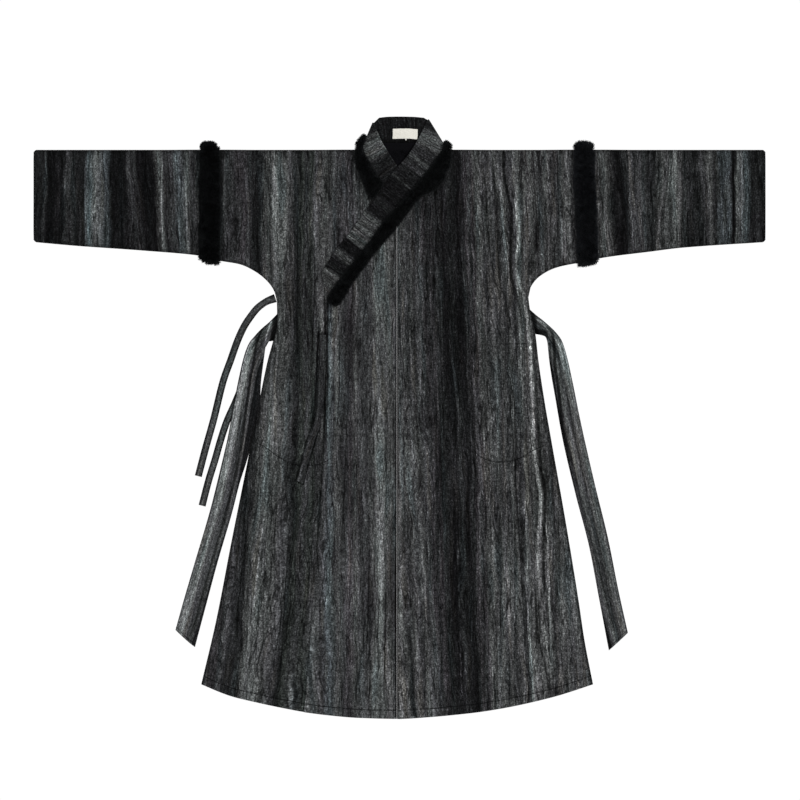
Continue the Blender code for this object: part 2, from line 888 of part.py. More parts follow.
# ---------------------------------------------------------------- ties and sashes
def tie(name, rows, under, colour):
    sections = []
    line = [r if len(r) == 2 else ((r[0] + r[2]) / 2, (r[1] + r[3]) / 2) for r in rows]
    for k, (x, d) in enumerate(line):
        a, b = line[max(k - 1, 0)], line[min(k + 1, len(rows) - 1)]
        along = Vector((b[0] - a[0], b[1] - a[1])).normalized()
        side = Vector((along[1], -along[0])) * (TIE_WIDTH / 2)
        corners = (x + side[0], d + side[1], x - side[0], d - side[1])
        sections.append(lying(rows[k] if len(rows[k]) == 4 else corners, under, TIE))
    return strip(name, sections, [(0, 1), (1, 1)], colour)


def sash(name, rows, colour):
    sections = []
    for xo, do, xi, di, lift in rows:
        sections.append(lying((xo, do, xi, di), lambda x, d, z=lift: z, SASH))
    return strip(name, sections, [(0, 1), (0.5, 1), (1, 1)], colour)


def main():
    clear_scene()
    cloth = (0.030, 0.033, 0.036)
    light = (0.055, 0.062, 0.066)
    black = (0.004, 0.004, 0.005)
    body_half("right", cloth)
    body_half("left", cloth)
    gore("outer", light)
    gore("inner", cloth)
    sleeve("right", cloth)
    sleeve("left", cloth)
    fur_ring("right", black)
    fur_ring("left", black)
    collar(light)
    collar_fur(black)
    neck_lining(black)
    label((0.75, 0.73, 0.68))
    sash("sash_right", SASH_RIGHT, light)
    sash("sash_left", SASH_LEFT, light)
    tie("tie_side_upper", TIE_UPPER, lambda x, d: 0.0, cloth)
    tie("tie_side_lower", TIE_LOWER, lambda x, d: 0.0, cloth)
    tie("tie_front", TIE_FRONT, lambda x, d: under_front(x, d) + CLOTH + SEAM, cloth)


main()
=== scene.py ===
"""The look of the robe: thin shells of striped, napped wool on the frame's solids, fur, stitches, light and camera."""

import math

import bmesh
import bpy
import numpy as np
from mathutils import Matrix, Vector


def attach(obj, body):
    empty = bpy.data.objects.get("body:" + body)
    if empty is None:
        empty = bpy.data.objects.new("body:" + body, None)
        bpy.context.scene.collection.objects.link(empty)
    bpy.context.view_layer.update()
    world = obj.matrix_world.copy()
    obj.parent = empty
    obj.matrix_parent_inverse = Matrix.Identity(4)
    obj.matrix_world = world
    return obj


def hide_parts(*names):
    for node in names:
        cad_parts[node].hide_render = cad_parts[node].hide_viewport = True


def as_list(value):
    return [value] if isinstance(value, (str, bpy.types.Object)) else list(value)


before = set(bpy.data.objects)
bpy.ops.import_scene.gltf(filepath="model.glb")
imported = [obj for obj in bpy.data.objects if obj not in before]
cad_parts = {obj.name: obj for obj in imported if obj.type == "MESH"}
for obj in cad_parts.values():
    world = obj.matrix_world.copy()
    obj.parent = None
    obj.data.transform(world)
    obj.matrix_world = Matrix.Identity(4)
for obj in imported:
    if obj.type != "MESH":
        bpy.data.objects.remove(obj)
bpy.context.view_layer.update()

# ---------------------------------------------------------------- sizes in millimetres, as in the solids
MM = 0.001
HALF_SPAN = 768.6
SHOULDER_Y = 561.8
CLOTH, BAND, TIE, SASH = 1.6, 2.4, 2.0, 2.4
SEAM, LAYER, OVER, NOSE, LOFT = 0.3, 0.4, 1.0, 0.9, 1.7
CENTRE, SEAM_RIGHT, SEAM_LEFT = -5.5, -398.0, 391.0
TIE_WIDTH, FUR_UNDER, FUR_GAP, RING_TOP, RING_HALF = 15.0, 3.0, 0.8, 24.0, 22.5

SIDE_RIGHT = [
    (317, -257),
    (340, -256.5),
    (368, -258),
    (401, -265),
    (441, -276),
    (525, -293.5),
    (651, -318),
    (819, -351.5),
    (987, -384),
    (1122, -415.5),
]
SIDE_LEFT = [
    (309, 270),
    (330, 272.5),
    (353, 277.5),
    (388, 285),
    (441, 291),
    (525, 303.5),
    (609, 318),
    (777, 347.5),
    (945, 375),
    (1029, 387.5),
    (1122, 405.5),
]
UNDER_RIGHT = [
    (-768.6, 192),
    (-679, 200),
    (-538, 210),
    (-423, 220.5),
    (-398, 227),
    (-375, 232),
    (-335, 239),
    (-303, 254),
    (-276, 276),
    (-262, 297),
    (-257, 317),
]
UNDER_LEFT = [
    (270, 309),
    (275, 287),
    (297, 262),
    (329, 246),
    (365, 238),
    (391, 234),
    (423, 226),
    (528, 212),
    (593, 204),
    (768.6, 192),
]
HEM = [
    (-415.5, 1122),
    (-352, 1147),
    (-291, 1162),
    (-238, 1173),
    (-201, 1180),
    (-146, 1187),
    (-83, 1192),
    (-5, 1194),
    (64, 1190),
    (148, 1182),
    (232, 1169),
    (316, 1150),
    (405.5, 1122),
]
FREE_EDGE = [
    (309, -153),
    (357, -152.7),
    (410, -152.5),
    (546, -154),
    (630, -158),
    (746, -165),
    (850, -173),
    (945, -181),
    (1050, -189),
    (1180, -200),
]
COLLAR_OUTER = [
    (-153, 309, -163.5, 258),
    (-121, 266, -153, 240),
    (-100, 240, -131, 206),
    (-66, 197, -102, 171),
    (-34, 152, -68, 122),
    (-5.5, 119.5, -39, 84),
    (30, 80, -12, 45),
    (64, 37, 19, 10),
    (84, 10, 38, -21),
    (88.5, 0, 49, -43),
]
COLLAR_BACK = [
    (66, -9, 51, -68),
    (28, -10.5, 27, -70),
    (-5.5, -10.5, -3, -70.5),
    (-28, -13, -25, -70),
    (-52, -11, -43, -68),
]
COLLAR_INNER = [
    (-75.5, 0, -50, -47),
    (-74, 8, -46, -38),
    (-66, 21, -41, -25),
    (-53, 44, -25, 2),
    (-35, 67, -8, 29),
    (-5.5, 105, 22, 68),
    (43, 170, 77, 136),
    (96, 239, 127, 202),
    (142, 309, 165, 258),
]
FOLD_LEFT = ((93.5, -7.2), (59.0, -63.4))
FOLD_RIGHT = ((-76, -5), (-54, -57))
FUR_OUTER = [
    (-149.5, 312, -144, 329),
    (-142, 299, -129, 334),
    (-132, 283.5, -116, 320),
    (-119.8, 266.8, -99, 292),
    (-99, 241, -77, 262),
    (-65, 198, -42, 216),
    (-33, 153, -8, 177),
    (-4.5, 120.5, 22, 138),
    (31, 81, 56, 99),
    (48, 60.5, 84, 86),
    (65.2, 37.6, 98, 69),
    (76, 23, 104, 41),
    (86.5, 10, 108, 20),
    (92.4, 1, 109, 4),
]
FUR_BACK = [
    (88, 3, 103, 19),
    (60, -3, 66, 31),
    (28, -4, 30, 35),
    (0, -4, 0, 36),
    (-28, -4, -30, 35),
    (-52, -3, -60, 31),
    (-74, 3, -96, 18),
]
FUR_INNER = [
    (-80, 1, -101, 3),
    (-75.5, 11, -101, 17),
    (-67.2, 22, -98, 35),
    (-54.4, 44.6, -88, 60),
    (-45, 57, -75, 88),
    (-34.5, 69.5, -64.5, 111),
]
FUR_FOLD_LEFT = ((94.5, -14), (108, -4))
FUR_FOLD_RIGHT = ((-79.5, -27), (-99, -4))
FUR_PILE_LEFT = ((95.0, -16.5), (110.0, -4.0))  # where the skin under the pile folds
FUR_PILE_RIGHT = ((-72.6, -30.0), (-95.2, -0.8))
SASH_RIGHT = [
    (-257.7, 343, -266.2, 400.5, 2.3),
    (-264, 350.5, -270.5, 401.2, 2.3),
    (-273, 360.5, -275.5, 402.2, 2.3),
    (-283, 369, -279.5, 405, 2.3),
    (-293, 378, -281.5, 414, 2.3),
    (-303, 389, -283.5, 428, 2.3),
    (-316, 405, -286, 447, 2.3),
    (-326, 430, -290, 478, 2.3),
    (-337, 476, -294.4, 523, 2.3),
    (-347, 527, -303.7, 571, 2.3),
    (-360, 599, -317.4, 640, 2.3),
    (-377, 672, -336, 700, 0.6),
    (-398, 756, -352, 762, 0),
    (-430, 865, -383, 868, 0),
    (-452, 940, -405, 950, 0),
    (-471, 1008, -430, 1044, 0),
]
SASH_LEFT = [
    (274.7, 333.5, 286.3, 386, 0),
    (287, 346, 298, 388.5, 0),
    (301, 357, 306, 391.5, 0),
    (316, 370, 310, 400, 0),
    (329, 383, 312, 415, 0),
    (341, 400, 314, 436, 0),
    (351, 430, 319, 472, 0),
    (363, 483, 327, 518, 0),
    (380, 567, 342, 603, 0),
    (408.5, 693, 369, 719, 0),
    (439, 819, 399, 835, 0),
    (460, 924, 419, 940, 0),
    (480, 1014, 440, 1051, 0),
]
TIE_UPPER = [
    (-259.4, 319, -265.4, 302),
    (-280, 318),
    (-298, 331),
    (-312, 348),
    (-326, 369),
    (-340, 399),
    (-355, 441),
    (-370, 483),
    (-391, 567),
    (-407, 624),
    (-423, 685),
]
TIE_LOWER = [
    (-270.5, 377),
    (-279, 394),
    (-289.5, 413),
    (-301, 432),
    (-316, 461),
    (-331, 496),
    (-346, 532),
    (-363, 570),
    (-376, 609),
    (-388, 651),
    (-401, 693),
    (-415, 747),
]
TIE_FRONT = [
    (-160.6, 388),
    (-161, 420),
    (-164, 480),
    (-166.5, 536),
    (-174, 575),
    (-186, 609),
    (-195, 640),
    (-204, 672),
    (-209, 696),
]
FUR_RINGS = {
    "right": (-398.0, -398.0, -19.0, 240.0),
    "left": (387.0, 395.0, -19.0, 244.0),
}
FLUTES = [  # across at the waist, across at the hem, half width at the hem, height at the hem
    (-165, -262, 62, 1.5),
    (-70, -108, 58, 1.2),
    (28, 52, 66, 1.6),
    (120, 176, 56, 1.1),
    (205, 292, 60, 1.7),
]

# soft creases, listed: across and drop of each end, half width, height (a trough is below 0)
CREASES = [
    (262, 285, 281, 420, 3.4, 0.9),
    (276, 420, 291, 560, 3.0, 1.0),
    (288, 560, 306, 760, 3.4, 1.1),
    (300, 760, 296, 980, 4.2, 0.8),
    (253, 300, 272, 470, 3.6, -0.7),
    (281, 600, 290, 860, 4.0, -0.8),
    (243, 60, 236, 200, 3.6, 0.9),
    (236, 200, 252, 330, 3.4, 1.0),
    (250, 330, 262, 450, 3.6, 0.6),
    (229, 80, 226, 270, 3.6, -0.8),
    (196, 40, 203, 190, 4.2, -0.7),
    (203, 200, 213, 420, 4.0, -0.6),
    (212, 440, 226, 700, 5.0, -0.6),
    (168, 330, 184, 560, 5.0, 0.6),
    (150, 520, 163, 770, 4.6, 0.7),
    (135, 640, 150, 900, 5.5, -0.8),
    (158, 800, 166, 1080, 5.0, 0.7),
    (112, 860, 122, 1120, 5.0, -0.6),
    (96, 300, 104, 520, 5.5, -0.7),
    (84, 500, 100, 760, 4.6, 0.6),
    (62, 240, 66, 430, 4.4, 0.6),
    (40, 620, 46, 900, 5.0, 0.6),
    (28, 900, 36, 1140, 5.5, -0.6),
    (208, 820, 222, 1060, 5.0, 0.7),
    (246, 700, 262, 980, 5.2, 0.6),
    (272, 900, 300, 1090, 6.0, -0.6),
    (330, 880, 352, 1100, 5.0, 0.6),
    (-52, 330, -44, 520, 4.5, 0.6),
    (-28, 520, -34, 760, 5.0, 0.7),
    (-62, 700, -70, 960, 5.5, -0.6),
    (-96, 420, -92, 660, 5.0, 0.6),
    (-118, 620, -124, 860, 4.4, -0.6),
    (-142, 300, -138, 470, 4.0, 0.6),
    (-100, 880, -112, 1130, 5.0, 0.6),
    (-40, 900, -46, 1150, 5.6, 0.6),
    (-176, 120, -182, 300, 4.6, -0.7),
    (-190, 300, -188, 520, 4.2, 0.6),
    (-214, 90, -222, 330, 5.0, 0.6),
    (-236, 380, -262, 640, 5.0, 0.6),
    (-222, 560, -240, 800, 4.6, -0.7),
    (-200, 660, -216, 900, 4.6, 0.6),
    (-262, 720, -290, 1000, 5.5, 0.7),
    (-308, 820, -342, 1080, 5.0, -0.7),
    (-232, 900, -250, 1120, 5.2, 0.6),
    (-280, 960, -300, 1130, 5.0, -0.5),
    (-300, 60, -296, 200, 5.0, -0.6),
    (-348, 40, -342, 170, 4.6, 0.6),
    (-262, 130, -270, 250, 5.0, 0.6),
    (320, 50, 324, 190, 4.6, 0.6),
    (286, 90, 290, 230, 5.0, -0.6),
    (352, 60, 350, 200, 4.4, 0.5),
    (-700, 30, -704, 170, 4.6, 0.6),
    (-664, 20, -668, 180, 4.0, -0.6),
    (-612, 40, -618, 190, 5.0, 0.7),
    (-560, 20, -556, 160, 4.6, -0.7),
    (-516, 60, -520, 200, 4.6, 0.6),
    (-470, 30, -464, 190, 5.0, -0.6),
    (-436, 40, -440, 200, 4.4, 0.6),
    (440, 40, 448, 200, 4.6, -0.6),
    (474, 20, 466, 170, 4.6, 0.6),
    (520, 60, 528, 200, 5.0, 0.7),
    (566, 20, 560, 150, 4.4, -0.6),
    (612, 50, 618, 190, 4.6, 0.6),
    (656, 30, 650, 170, 4.6, -0.7),
    (704, 40, 708, 180, 4.6, 0.6),
]


# ---------------------------------------------------------------- curves, noise and heights, on whole arrays
def curve(rows, t):
    """Values at t on a smooth curve through (t, value) rows that never overshoots them."""
    ts, vs = np.array(rows, float).T
    steps = np.diff(vs) / np.diff(ts)
    slope = np.zeros(len(ts))
    slope[0], slope[-1] = steps[0], steps[-1]
    for k in range(1, len(ts) - 1):
        if steps[k - 1] * steps[k] > 0:
            slope[k] = 2 * steps[k - 1] * steps[k] / (steps[k - 1] + steps[k])
    t = np.asarray(t, float)
    k = np.clip(np.searchsorted(ts, t) - 1, 0, len(ts) - 2)
    h = ts[k + 1] - ts[k]
    u = np.clip((t - ts[k]) / h, 0, 1)
    return (
        vs[k] * (1 + 2 * u) * (1 - u) ** 2
        + h * slope[k] * u * (1 - u) ** 2
        + vs[k + 1] * u * u * (3 - 2 * u)
        + h * slope[k + 1] * u * u * (u - 1)
    )


def ease(v):
    v = np.clip(v, 0, 1)
    return v * v * (3 - 2 * v)


def plateau(v, low, high, fall):
    return 1 - ease(np.maximum(np.maximum(low - v, v - high), 0) / fall)


TABLES = {}


def noise(x, y, sx, sy, seed):
    """Smooth noise from -1 to 1, with cells sx by sy."""
    if seed not in TABLES:
        TABLES[seed] = np.random.RandomState(seed).rand(257, 257) * 2 - 1
    table = TABLES[seed]
    gx, gy = np.asarray(x) / sx + 91.7, np.asarray(y) / sy + 57.3
    ix, iy = np.floor(gx).astype(int), np.floor(gy).astype(int)
    fx, fy = ease(gx - ix), ease(gy - iy)
    ix, iy = ix % 256, iy % 256
    a = table[ix, iy] * (1 - fx) + table[ix + 1, iy] * fx
    b = table[ix, iy + 1] * (1 - fx) + table[ix + 1, iy + 1] * fx
    return a * (1 - fy) + b * fy


def sampled(rows, n=60):
    ts = np.linspace(rows[0][0], rows[-1][0], n)
    return np.stack([ts, curve(rows, ts)], axis=1)


SHUT_EDGES = [
    np.array([(-HALF_SPAN, 0.0), (-75.5, 0.0)]),
    np.array([(88.5, 0.0), (HALF_SPAN, 0.0)]),
    sampled(UNDER_RIGHT),
    sampled(UNDER_LEFT),
    sampled(SIDE_RIGHT)[:, ::-1],
    sampled(SIDE_LEFT)[:, ::-1],
]


def from_shut_edge(x, d):
    best = np.full(np.shape(x), 1e9)
    for line in SHUT_EDGES:
        for a, b in zip(line[:-1], line[1:]):
            ab = b - a
            t = np.clip(((x - a[0]) * ab[0] + (d - a[1]) * ab[1]) / (ab @ ab), 0, 1)
            best = np.minimum(best, np.hypot(a[0] + ab[0] * t - x, a[1] + ab[1] * t - d))
    return best


def ground(x, d):
    neck = plateau(x, -112, 118, 85) * plateau(d, -999, 42, 115)
    right = plateau(x, SEAM_RIGHT - 26, SEAM_RIGHT + 26, 75)
    left = plateau(x, SEAM_LEFT - 32, SEAM_LEFT + 34, 75)
    return (FUR_UNDER + SEAM) * np.maximum(neck, np.maximum(right, left))


def flutes(x, d):
    v = ease((d - 420) / 700)
    lift = 0.0
    for waist, hem, half, height in FLUTES:
        mid = waist + (hem - waist) * (d - 420) / 774
        lift = lift + height * v * np.exp(
            -(((x - mid) / (half * (0.55 + 0.45 * v))) ** 2) * 1.6
        )
    return lift


SLEEVE_LEAN = [
    (-769, 0.0),
    (-640, 0.0),
    (-590, 0.03),
    (-545, 0.08),
    (-500, 0.07),
    (-450, 0.03),
    (-398, 0.0),
    (391, 0.02),
    (420, 0.04),
    (452, 0.07),
    (485, 0.05),
    (520, 0.0),
    (570, -0.02),
    (620, 0.03),
    (660, 0.0),
    (769, 0.0),
]


def drift(x, d):
    """How far the stripes have moved sideways at this drop: the left front's lean outwards, and the sleeves' own."""
    front = 0.038 * (d - 150) * (x > CENTRE) * (x < SEAM_LEFT)
    front = front - 0.05 * (np.sqrt((d - 560) ** 2 + 120.0**2) + d - 560) * ease((-120 - x) / 200)
    arm = curve(SLEEVE_LEAN, x) * (d - 110) * ((x <= SEAM_RIGHT) | (x >= SEAM_LEFT))
    return front + arm


# the colour grows up to a fifth paler from the waist to the hem
def paler_to_hem(d):
    return 1 + 0.2 * ease((d - 560) / 420)


def relief(x, d):
    """The cloth's own unevenness: listed creases, and long wavering slubs along the stripes."""
    bend = 5 * noise(x, d, 45, 90, 11) + 2.2 * noise(x, d, 14, 40, 12)
    u = x - drift(x, d) + bend
    rise = (
        0.34 * noise(u, d, 9, 120, 21)
        + 0.26 * noise(u, d, 5.5, 60, 22)
        + 0.35 * noise(x, d, 60, 190, 23)
    )
    for x0, d0, x1, d1, half, height in CREASES:
        length = math.hypot(x1 - x0, d1 - d0)
        ax, ad = (x1 - x0) / length, (d1 - d0) / length
        along = ((x - x0) * ax + (d - d0) * ad) / length
        across = (x - x0) * ad - (d - d0) * ax
        across = across + 3.0 * noise(x, d, 70, 46, 31) + 1.4 * noise(x, d, 40, 17, 32)
        envelope = ease(along * 4) * ease((1 - along) * 4)
        uneven = 0.7 + 0.5 * noise(along * 5, along * 0, 1, 1, int(abs(x0) + d0) % 97)
        width = half * (0.8 + 0.35 * noise(d, x, 60, 60, 33))
        rise = rise + height * envelope * uneven * np.exp(-((across / width) ** 2))
    return rise


def seam_relief(x, d):
    """A groove at the centre-front seam and the ridge of its folded allowance beside it."""
    below = ease((d - 90) / 40)
    ridge = ease((d - 250) / 500) * (1 + 0.35 * noise(d, x * 0, 38, 1, 41))
    side = x - CENTRE
    return below * (
        -1.0 * np.exp(-((side / 1.9) ** 2))
        + (0.35 + 0.75 * ridge) * np.exp(-(((side - 6.5) / 4.2) ** 2))
        + 0.25 * np.exp(-(((side + 7) / 5) ** 2))
    )


def lively(x, d):
    """How far a front may rise and fall, which is nothing at a joined edge."""
    edge = from_shut_edge(x, d)
    return ease((edge - 1) / 16), ease(edge / 25)


def under_front(x, d):
    free, near = lively(x, d)
    hem = np.clip((curve(HEM, x) - d) / 24, 0, 1)
    calm = 0.35 + 0.65 * ease(hem)
    body = LAYER + (LOFT + flutes(x, d)) * near
    return ground(x, d) + CLOTH + body + np.maximum(free * calm * relief(x, d), -1.2 * near)


def covered(x, d):
    past_band = -0.797 * (x + 25) + 0.604 * (d - 2)
    gore = np.where(d > 309, -11 - curve(FREE_EDGE, np.maximum(d, 309)), 142 + 0.451 * (309 - d))
    return ease((np.minimum(past_band, gore - x) + 91) / 66)


def over_front(x, d):
    lift = CLOTH + OVER + (BAND - CLOTH) * ease((x + 114) / 56)
    free, near = lively(x, d)
    return under_front(x, d) + lift * covered(x, d) + near * np.maximum(seam_relief(x, d), -0.8)


def under_band(x, d):
    return np.maximum(under_front(x, d), ground(x, d) + BAND + 0.5)


def over_band(x, d):
    return np.maximum(over_front(x, d), ground(x, d) + BAND + 0.5)


# ---------------------------------------------------------------- meshes
ALL = []


def keep(name, points, faces, node=None, weave=None, material=None, angle=50):
    """One closed mesh that rides on the robe. Points are (across, drop, height) in millimetres."""
    p = np.asarray(points, float)
    world = np.stack([p[:, 0], SHOULDER_Y - p[:, 1], p[:, 2]], axis=1) * MM
    mesh = bpy.data.meshes.new(name)
    mesh.from_pydata(world.tolist(), [], faces)
    bm = bmesh.new()
    bm.from_mesh(mesh)
    bmesh.ops.recalc_face_normals(bm, faces=bm.faces)
    bm.to_mesh(mesh)
    bm.free()
    if weave is not None:
        layer = mesh.attributes.new("weave", "FLOAT_VECTOR", "POINT")
        layer.data.foreach_set("vector", np.asarray(weave, np.float32).ravel())
        layer = mesh.attributes.new("place", "FLOAT_VECTOR", "POINT")
        layer.data.foreach_set("vector", p.astype(np.float32).ravel())
    mesh.shade_smooth()
    mesh.set_sharp_from_angle(angle=math.radians(angle))
    obj = bpy.data.objects.new(name, mesh)
    bpy.context.scene.collection.objects.link(obj)
    if material is not None:
        mesh.materials.append(material)
    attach(obj, "root")
    if node:
        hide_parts(node)
    ALL.append(obj)
    return obj


def panel(name, x, d, under, thick, node, material, weave=None, edge=0.35):
    """A single layer through the grid x, d, with its rim rounded."""
    rows, cols = x.shape
    z = under(x, d)
    w = np.stack([x - drift(x, d), d, paler_to_hem(d)], axis=-1) if weave is None else weave
    top = thick * np.ones_like(x)
    rim_mask = np.zeros_like(x, bool)
    rim_mask[0], rim_mask[-1], rim_mask[:, 0], rim_mask[:, -1] = True, True, True, True
    top[rim_mask] -= edge
    low = z + np.where(rim_mask, edge * 0.6, 0)
    points = np.concatenate(
        [
            np.stack([x, d, low], axis=-1).reshape(-1, 3),
            np.stack([x, d, z + top], axis=-1).reshape(-1, 3),
        ]
    )
    idx = np.arange(rows * cols).reshape(rows, cols)
    quads = np.stack([idx[:-1, :-1], idx[1:, :-1], idx[1:, 1:], idx[:-1, 1:]], axis=-1).reshape(-1, 4)
    n = rows * cols
    faces = quads.tolist() + (quads[:, ::-1] + n).tolist()
    rim = np.concatenate([idx[0, :-1], idx[:-1, -1], idx[-1, :0:-1], idx[:0:-1, 0]])
    nxt = np.roll(rim, -1)
    faces += np.stack([rim, nxt, nxt + n, rim + n], axis=-1).tolist()
    return keep(name, points, faces, node, np.tile(w.reshape(-1, 3), (2, 1)), material)


def flat_tube(name, front, front_cells, back, back_cells, shut, under, node, material):
    """Front and back of one piece, joined along shut edges by a rounded nose."""
    fkeys, bkeys = list(front), list(back)
    fx, fd = np.array([front[k] for k in fkeys], float).T
    bx, bd = np.array([back[k] for k in bkeys], float).T
    fz, bz = under(fx, fd), ground(bx, bd)
    nf, nb = len(fkeys), len(bkeys)
    fi = {k: n for n, k in enumerate(fkeys)}
    bi = {k: n for n, k in enumerate(bkeys)}
    back_relief = 0.5 * np.clip(ease(from_shut_edge(bx, bd) / 30) * relief(bx + 7, bd + 300), -0.5, 0.5)
    points = np.concatenate(
        [
            np.stack([bx, bd, bz], axis=1),
            np.stack([bx, bd, bz + CLOTH + np.minimum(back_relief, 0.1)], axis=1),
            np.stack([fx, fd, fz], axis=1),
            np.stack([fx, fd, fz + CLOTH], axis=1),
        ]
    )
    fu, fo, bu, bo = 2 * nb, 2 * nb + nf, 0, nb
    outward = {}
    for a, b in shut:
        (xa, da), (xb, db) = front[a], front[b]
        side = np.array([db - da, xa - xb])
        side /= np.linalg.norm(side)
        for key in (a, b):
            outward[key] = outward.get(key, 0) + side
    nose, extra = {}, []
    for key, side in outward.items():
        side = side / np.linalg.norm(side)
        (x, d), z0, z1 = front[key], bz[bi[key]], fz[fi[key]] + CLOTH
        nose[key] = len(points) + len(extra)
        extra.append((x + NOSE * side[0], d + NOSE * side[1], (z0 + z1) / 2))
    points = np.concatenate([points, extra])

    def ring(cell):
        i, c = cell
        return [(i, c), (i + 1, c), (i + 1, c + 1), (i, c + 1)]

    def rim(cells):
        seen = {}
        for cell in cells:
            keys = ring(cell)
            for a, b in zip(keys, keys[1:] + keys[:1]):
                e = (a, b) if a < b else (b, a)
                seen[e] = seen.get(e, 0) + 1
        return [e for e, uses in seen.items() if uses == 1]

    faces = []
    for cell in front_cells:
        ids = [fi[k] for k in ring(cell)]
        faces += [[fu + n for n in ids], [fo + n for n in ids[::-1]]]
    for cell in back_cells:
        ids = [bi[k] for k in ring(cell)]
        faces += [[bu + n for n in ids], [bo + n for n in ids[::-1]]]
    joined = {tuple(sorted(e)) for e in shut}
    for e in rim(front_cells):
        a, b = e
        ia, ib = fi[a], fi[b]
        if e in joined:
            ja, jb = bi[a], bi[b]
            faces += [
                [nose[a], nose[b], fo + ib, fo + ia],
                [bu + ja, bu + jb, nose[b], nose[a]],
                [bo + ja, bo + jb, fu + ib, fu + ia],
            ]
        else:
            faces.append([fu + ia, fu + ib, fo + ib, fo + ia])
    for e in rim(back_cells):
        if e not in joined:
            ja, jb = bi[e[0]], bi[e[1]]
            faces.append([bu + ja, bu + jb, bo + jb, bo + ja])
    touched = {}
    for a, b in shut:
        touched[a] = touched.get(a, 0) + 1
        touched[b] = touched.get(b, 0) + 1
    for key, uses in touched.items():
        if uses == 1:
            i, j, n = fi[key], bi[key], nose[key]
            faces += [[fo + i, n, fu + i], [fu + i, n, bo + j], [bo + j, n, bu + j]]
    weave = np.zeros((len(points), 3))
    weave[:, 0] = points[:, 0] - drift(points[:, 0], points[:, 1])
    weave[:, 1] = points[:, 1]
    weave[: 2 * nb, 1] = -points[: 2 * nb, 1] - 40
    # painted shade: the colour darkens towards the shut edges, most along the lower sides, where shade falls on the
    # rounded edge
    dim = 0.5 - 0.27 * ease((points[:, 1] - 290) / 50)
    rim_shadow_width = 2.4 * plateau(points[:, 1], 440, 780, 70)
    from_edge = np.maximum(from_shut_edge(points[:, 0], points[:, 1]) - rim_shadow_width, 0)
    weave[:, 2] = (dim + (1 - dim) * ease(from_edge / 5.5)) * paler_to_hem(points[:, 1])
    # painted shade on the rounded nose
    weave[len(points) - len(extra) :, 2] = 0.3
    return keep(name, points, faces, node, weave, material)


def strip(name, sections, profile, node, material, weave_rows=None):
    """A band through sections of (inner, outer, normal, thickness), as arrays; profile rows are (share of the width, share of the thickness)."""
    inner, outer, normal, thick = sections
    w = np.array([row[0] for row in profile])
    share = np.array([row[1] for row in profile])
    k, m = len(inner), len(profile)
    middle = inner[:, None] * (1 - w)[None, :, None] + outer[:, None] * w[None, :, None]
    shift = normal[:, None] * (0.5 * thick[:, None] * share[None, :])[..., None]
    points = np.stack([middle - shift, middle + shift], axis=1).reshape(-1, 3)

    idx = np.arange(k * 2 * m).reshape(k, 2, m)
    faces = []
    for top in (0, 1):
        a = idx[:, top]
        faces += np.stack([a[:-1, :-1], a[:-1, 1:], a[1:, 1:], a[1:, :-1]], axis=-1).reshape(-1, 4).tolist()
    for e in (0, m - 1):
        faces += np.stack([idx[:-1, 0, e], idx[1:, 0, e], idx[1:, 1, e], idx[:-1, 1, e]], axis=-1).tolist()
    for e in (0, k - 1):
        faces += np.stack([idx[e, 0, :-1], idx[e, 0, 1:], idx[e, 1, 1:], idx[e, 1, :-1]], axis=-1).tolist()
    weave = None
    if weave_rows is not None:
        along, width = weave_rows
        weave = np.zeros((k, 2, m, 3))
        weave[..., 0] = along[:, None, None]
        weave[..., 1] = (w[None, :] * width[:, None])[:, None]
        weave[..., 2] = 1
        weave = weave.reshape(-1, 3)
    return keep(name, points, faces, node, weave, material)


# ---------------------------------------------------------------- materials
SHADES = {
    "black": (0.0060, 0.0061, 0.0066),
    "dark": (0.0130, 0.0137, 0.0143),
    "brown": (0.0170, 0.0148, 0.0136),
    "green": (0.0200, 0.0228, 0.0212),
    "plum": (0.0256, 0.0246, 0.0266),
    "slate": (0.0330, 0.0342, 0.0358),
    "mid": (0.0460, 0.0475, 0.0478),
    "blue": (0.0520, 0.0614, 0.0659),
    "light": (0.0740, 0.0792, 0.0793),
    "pale": (0.1080, 0.1148, 0.1127),
}
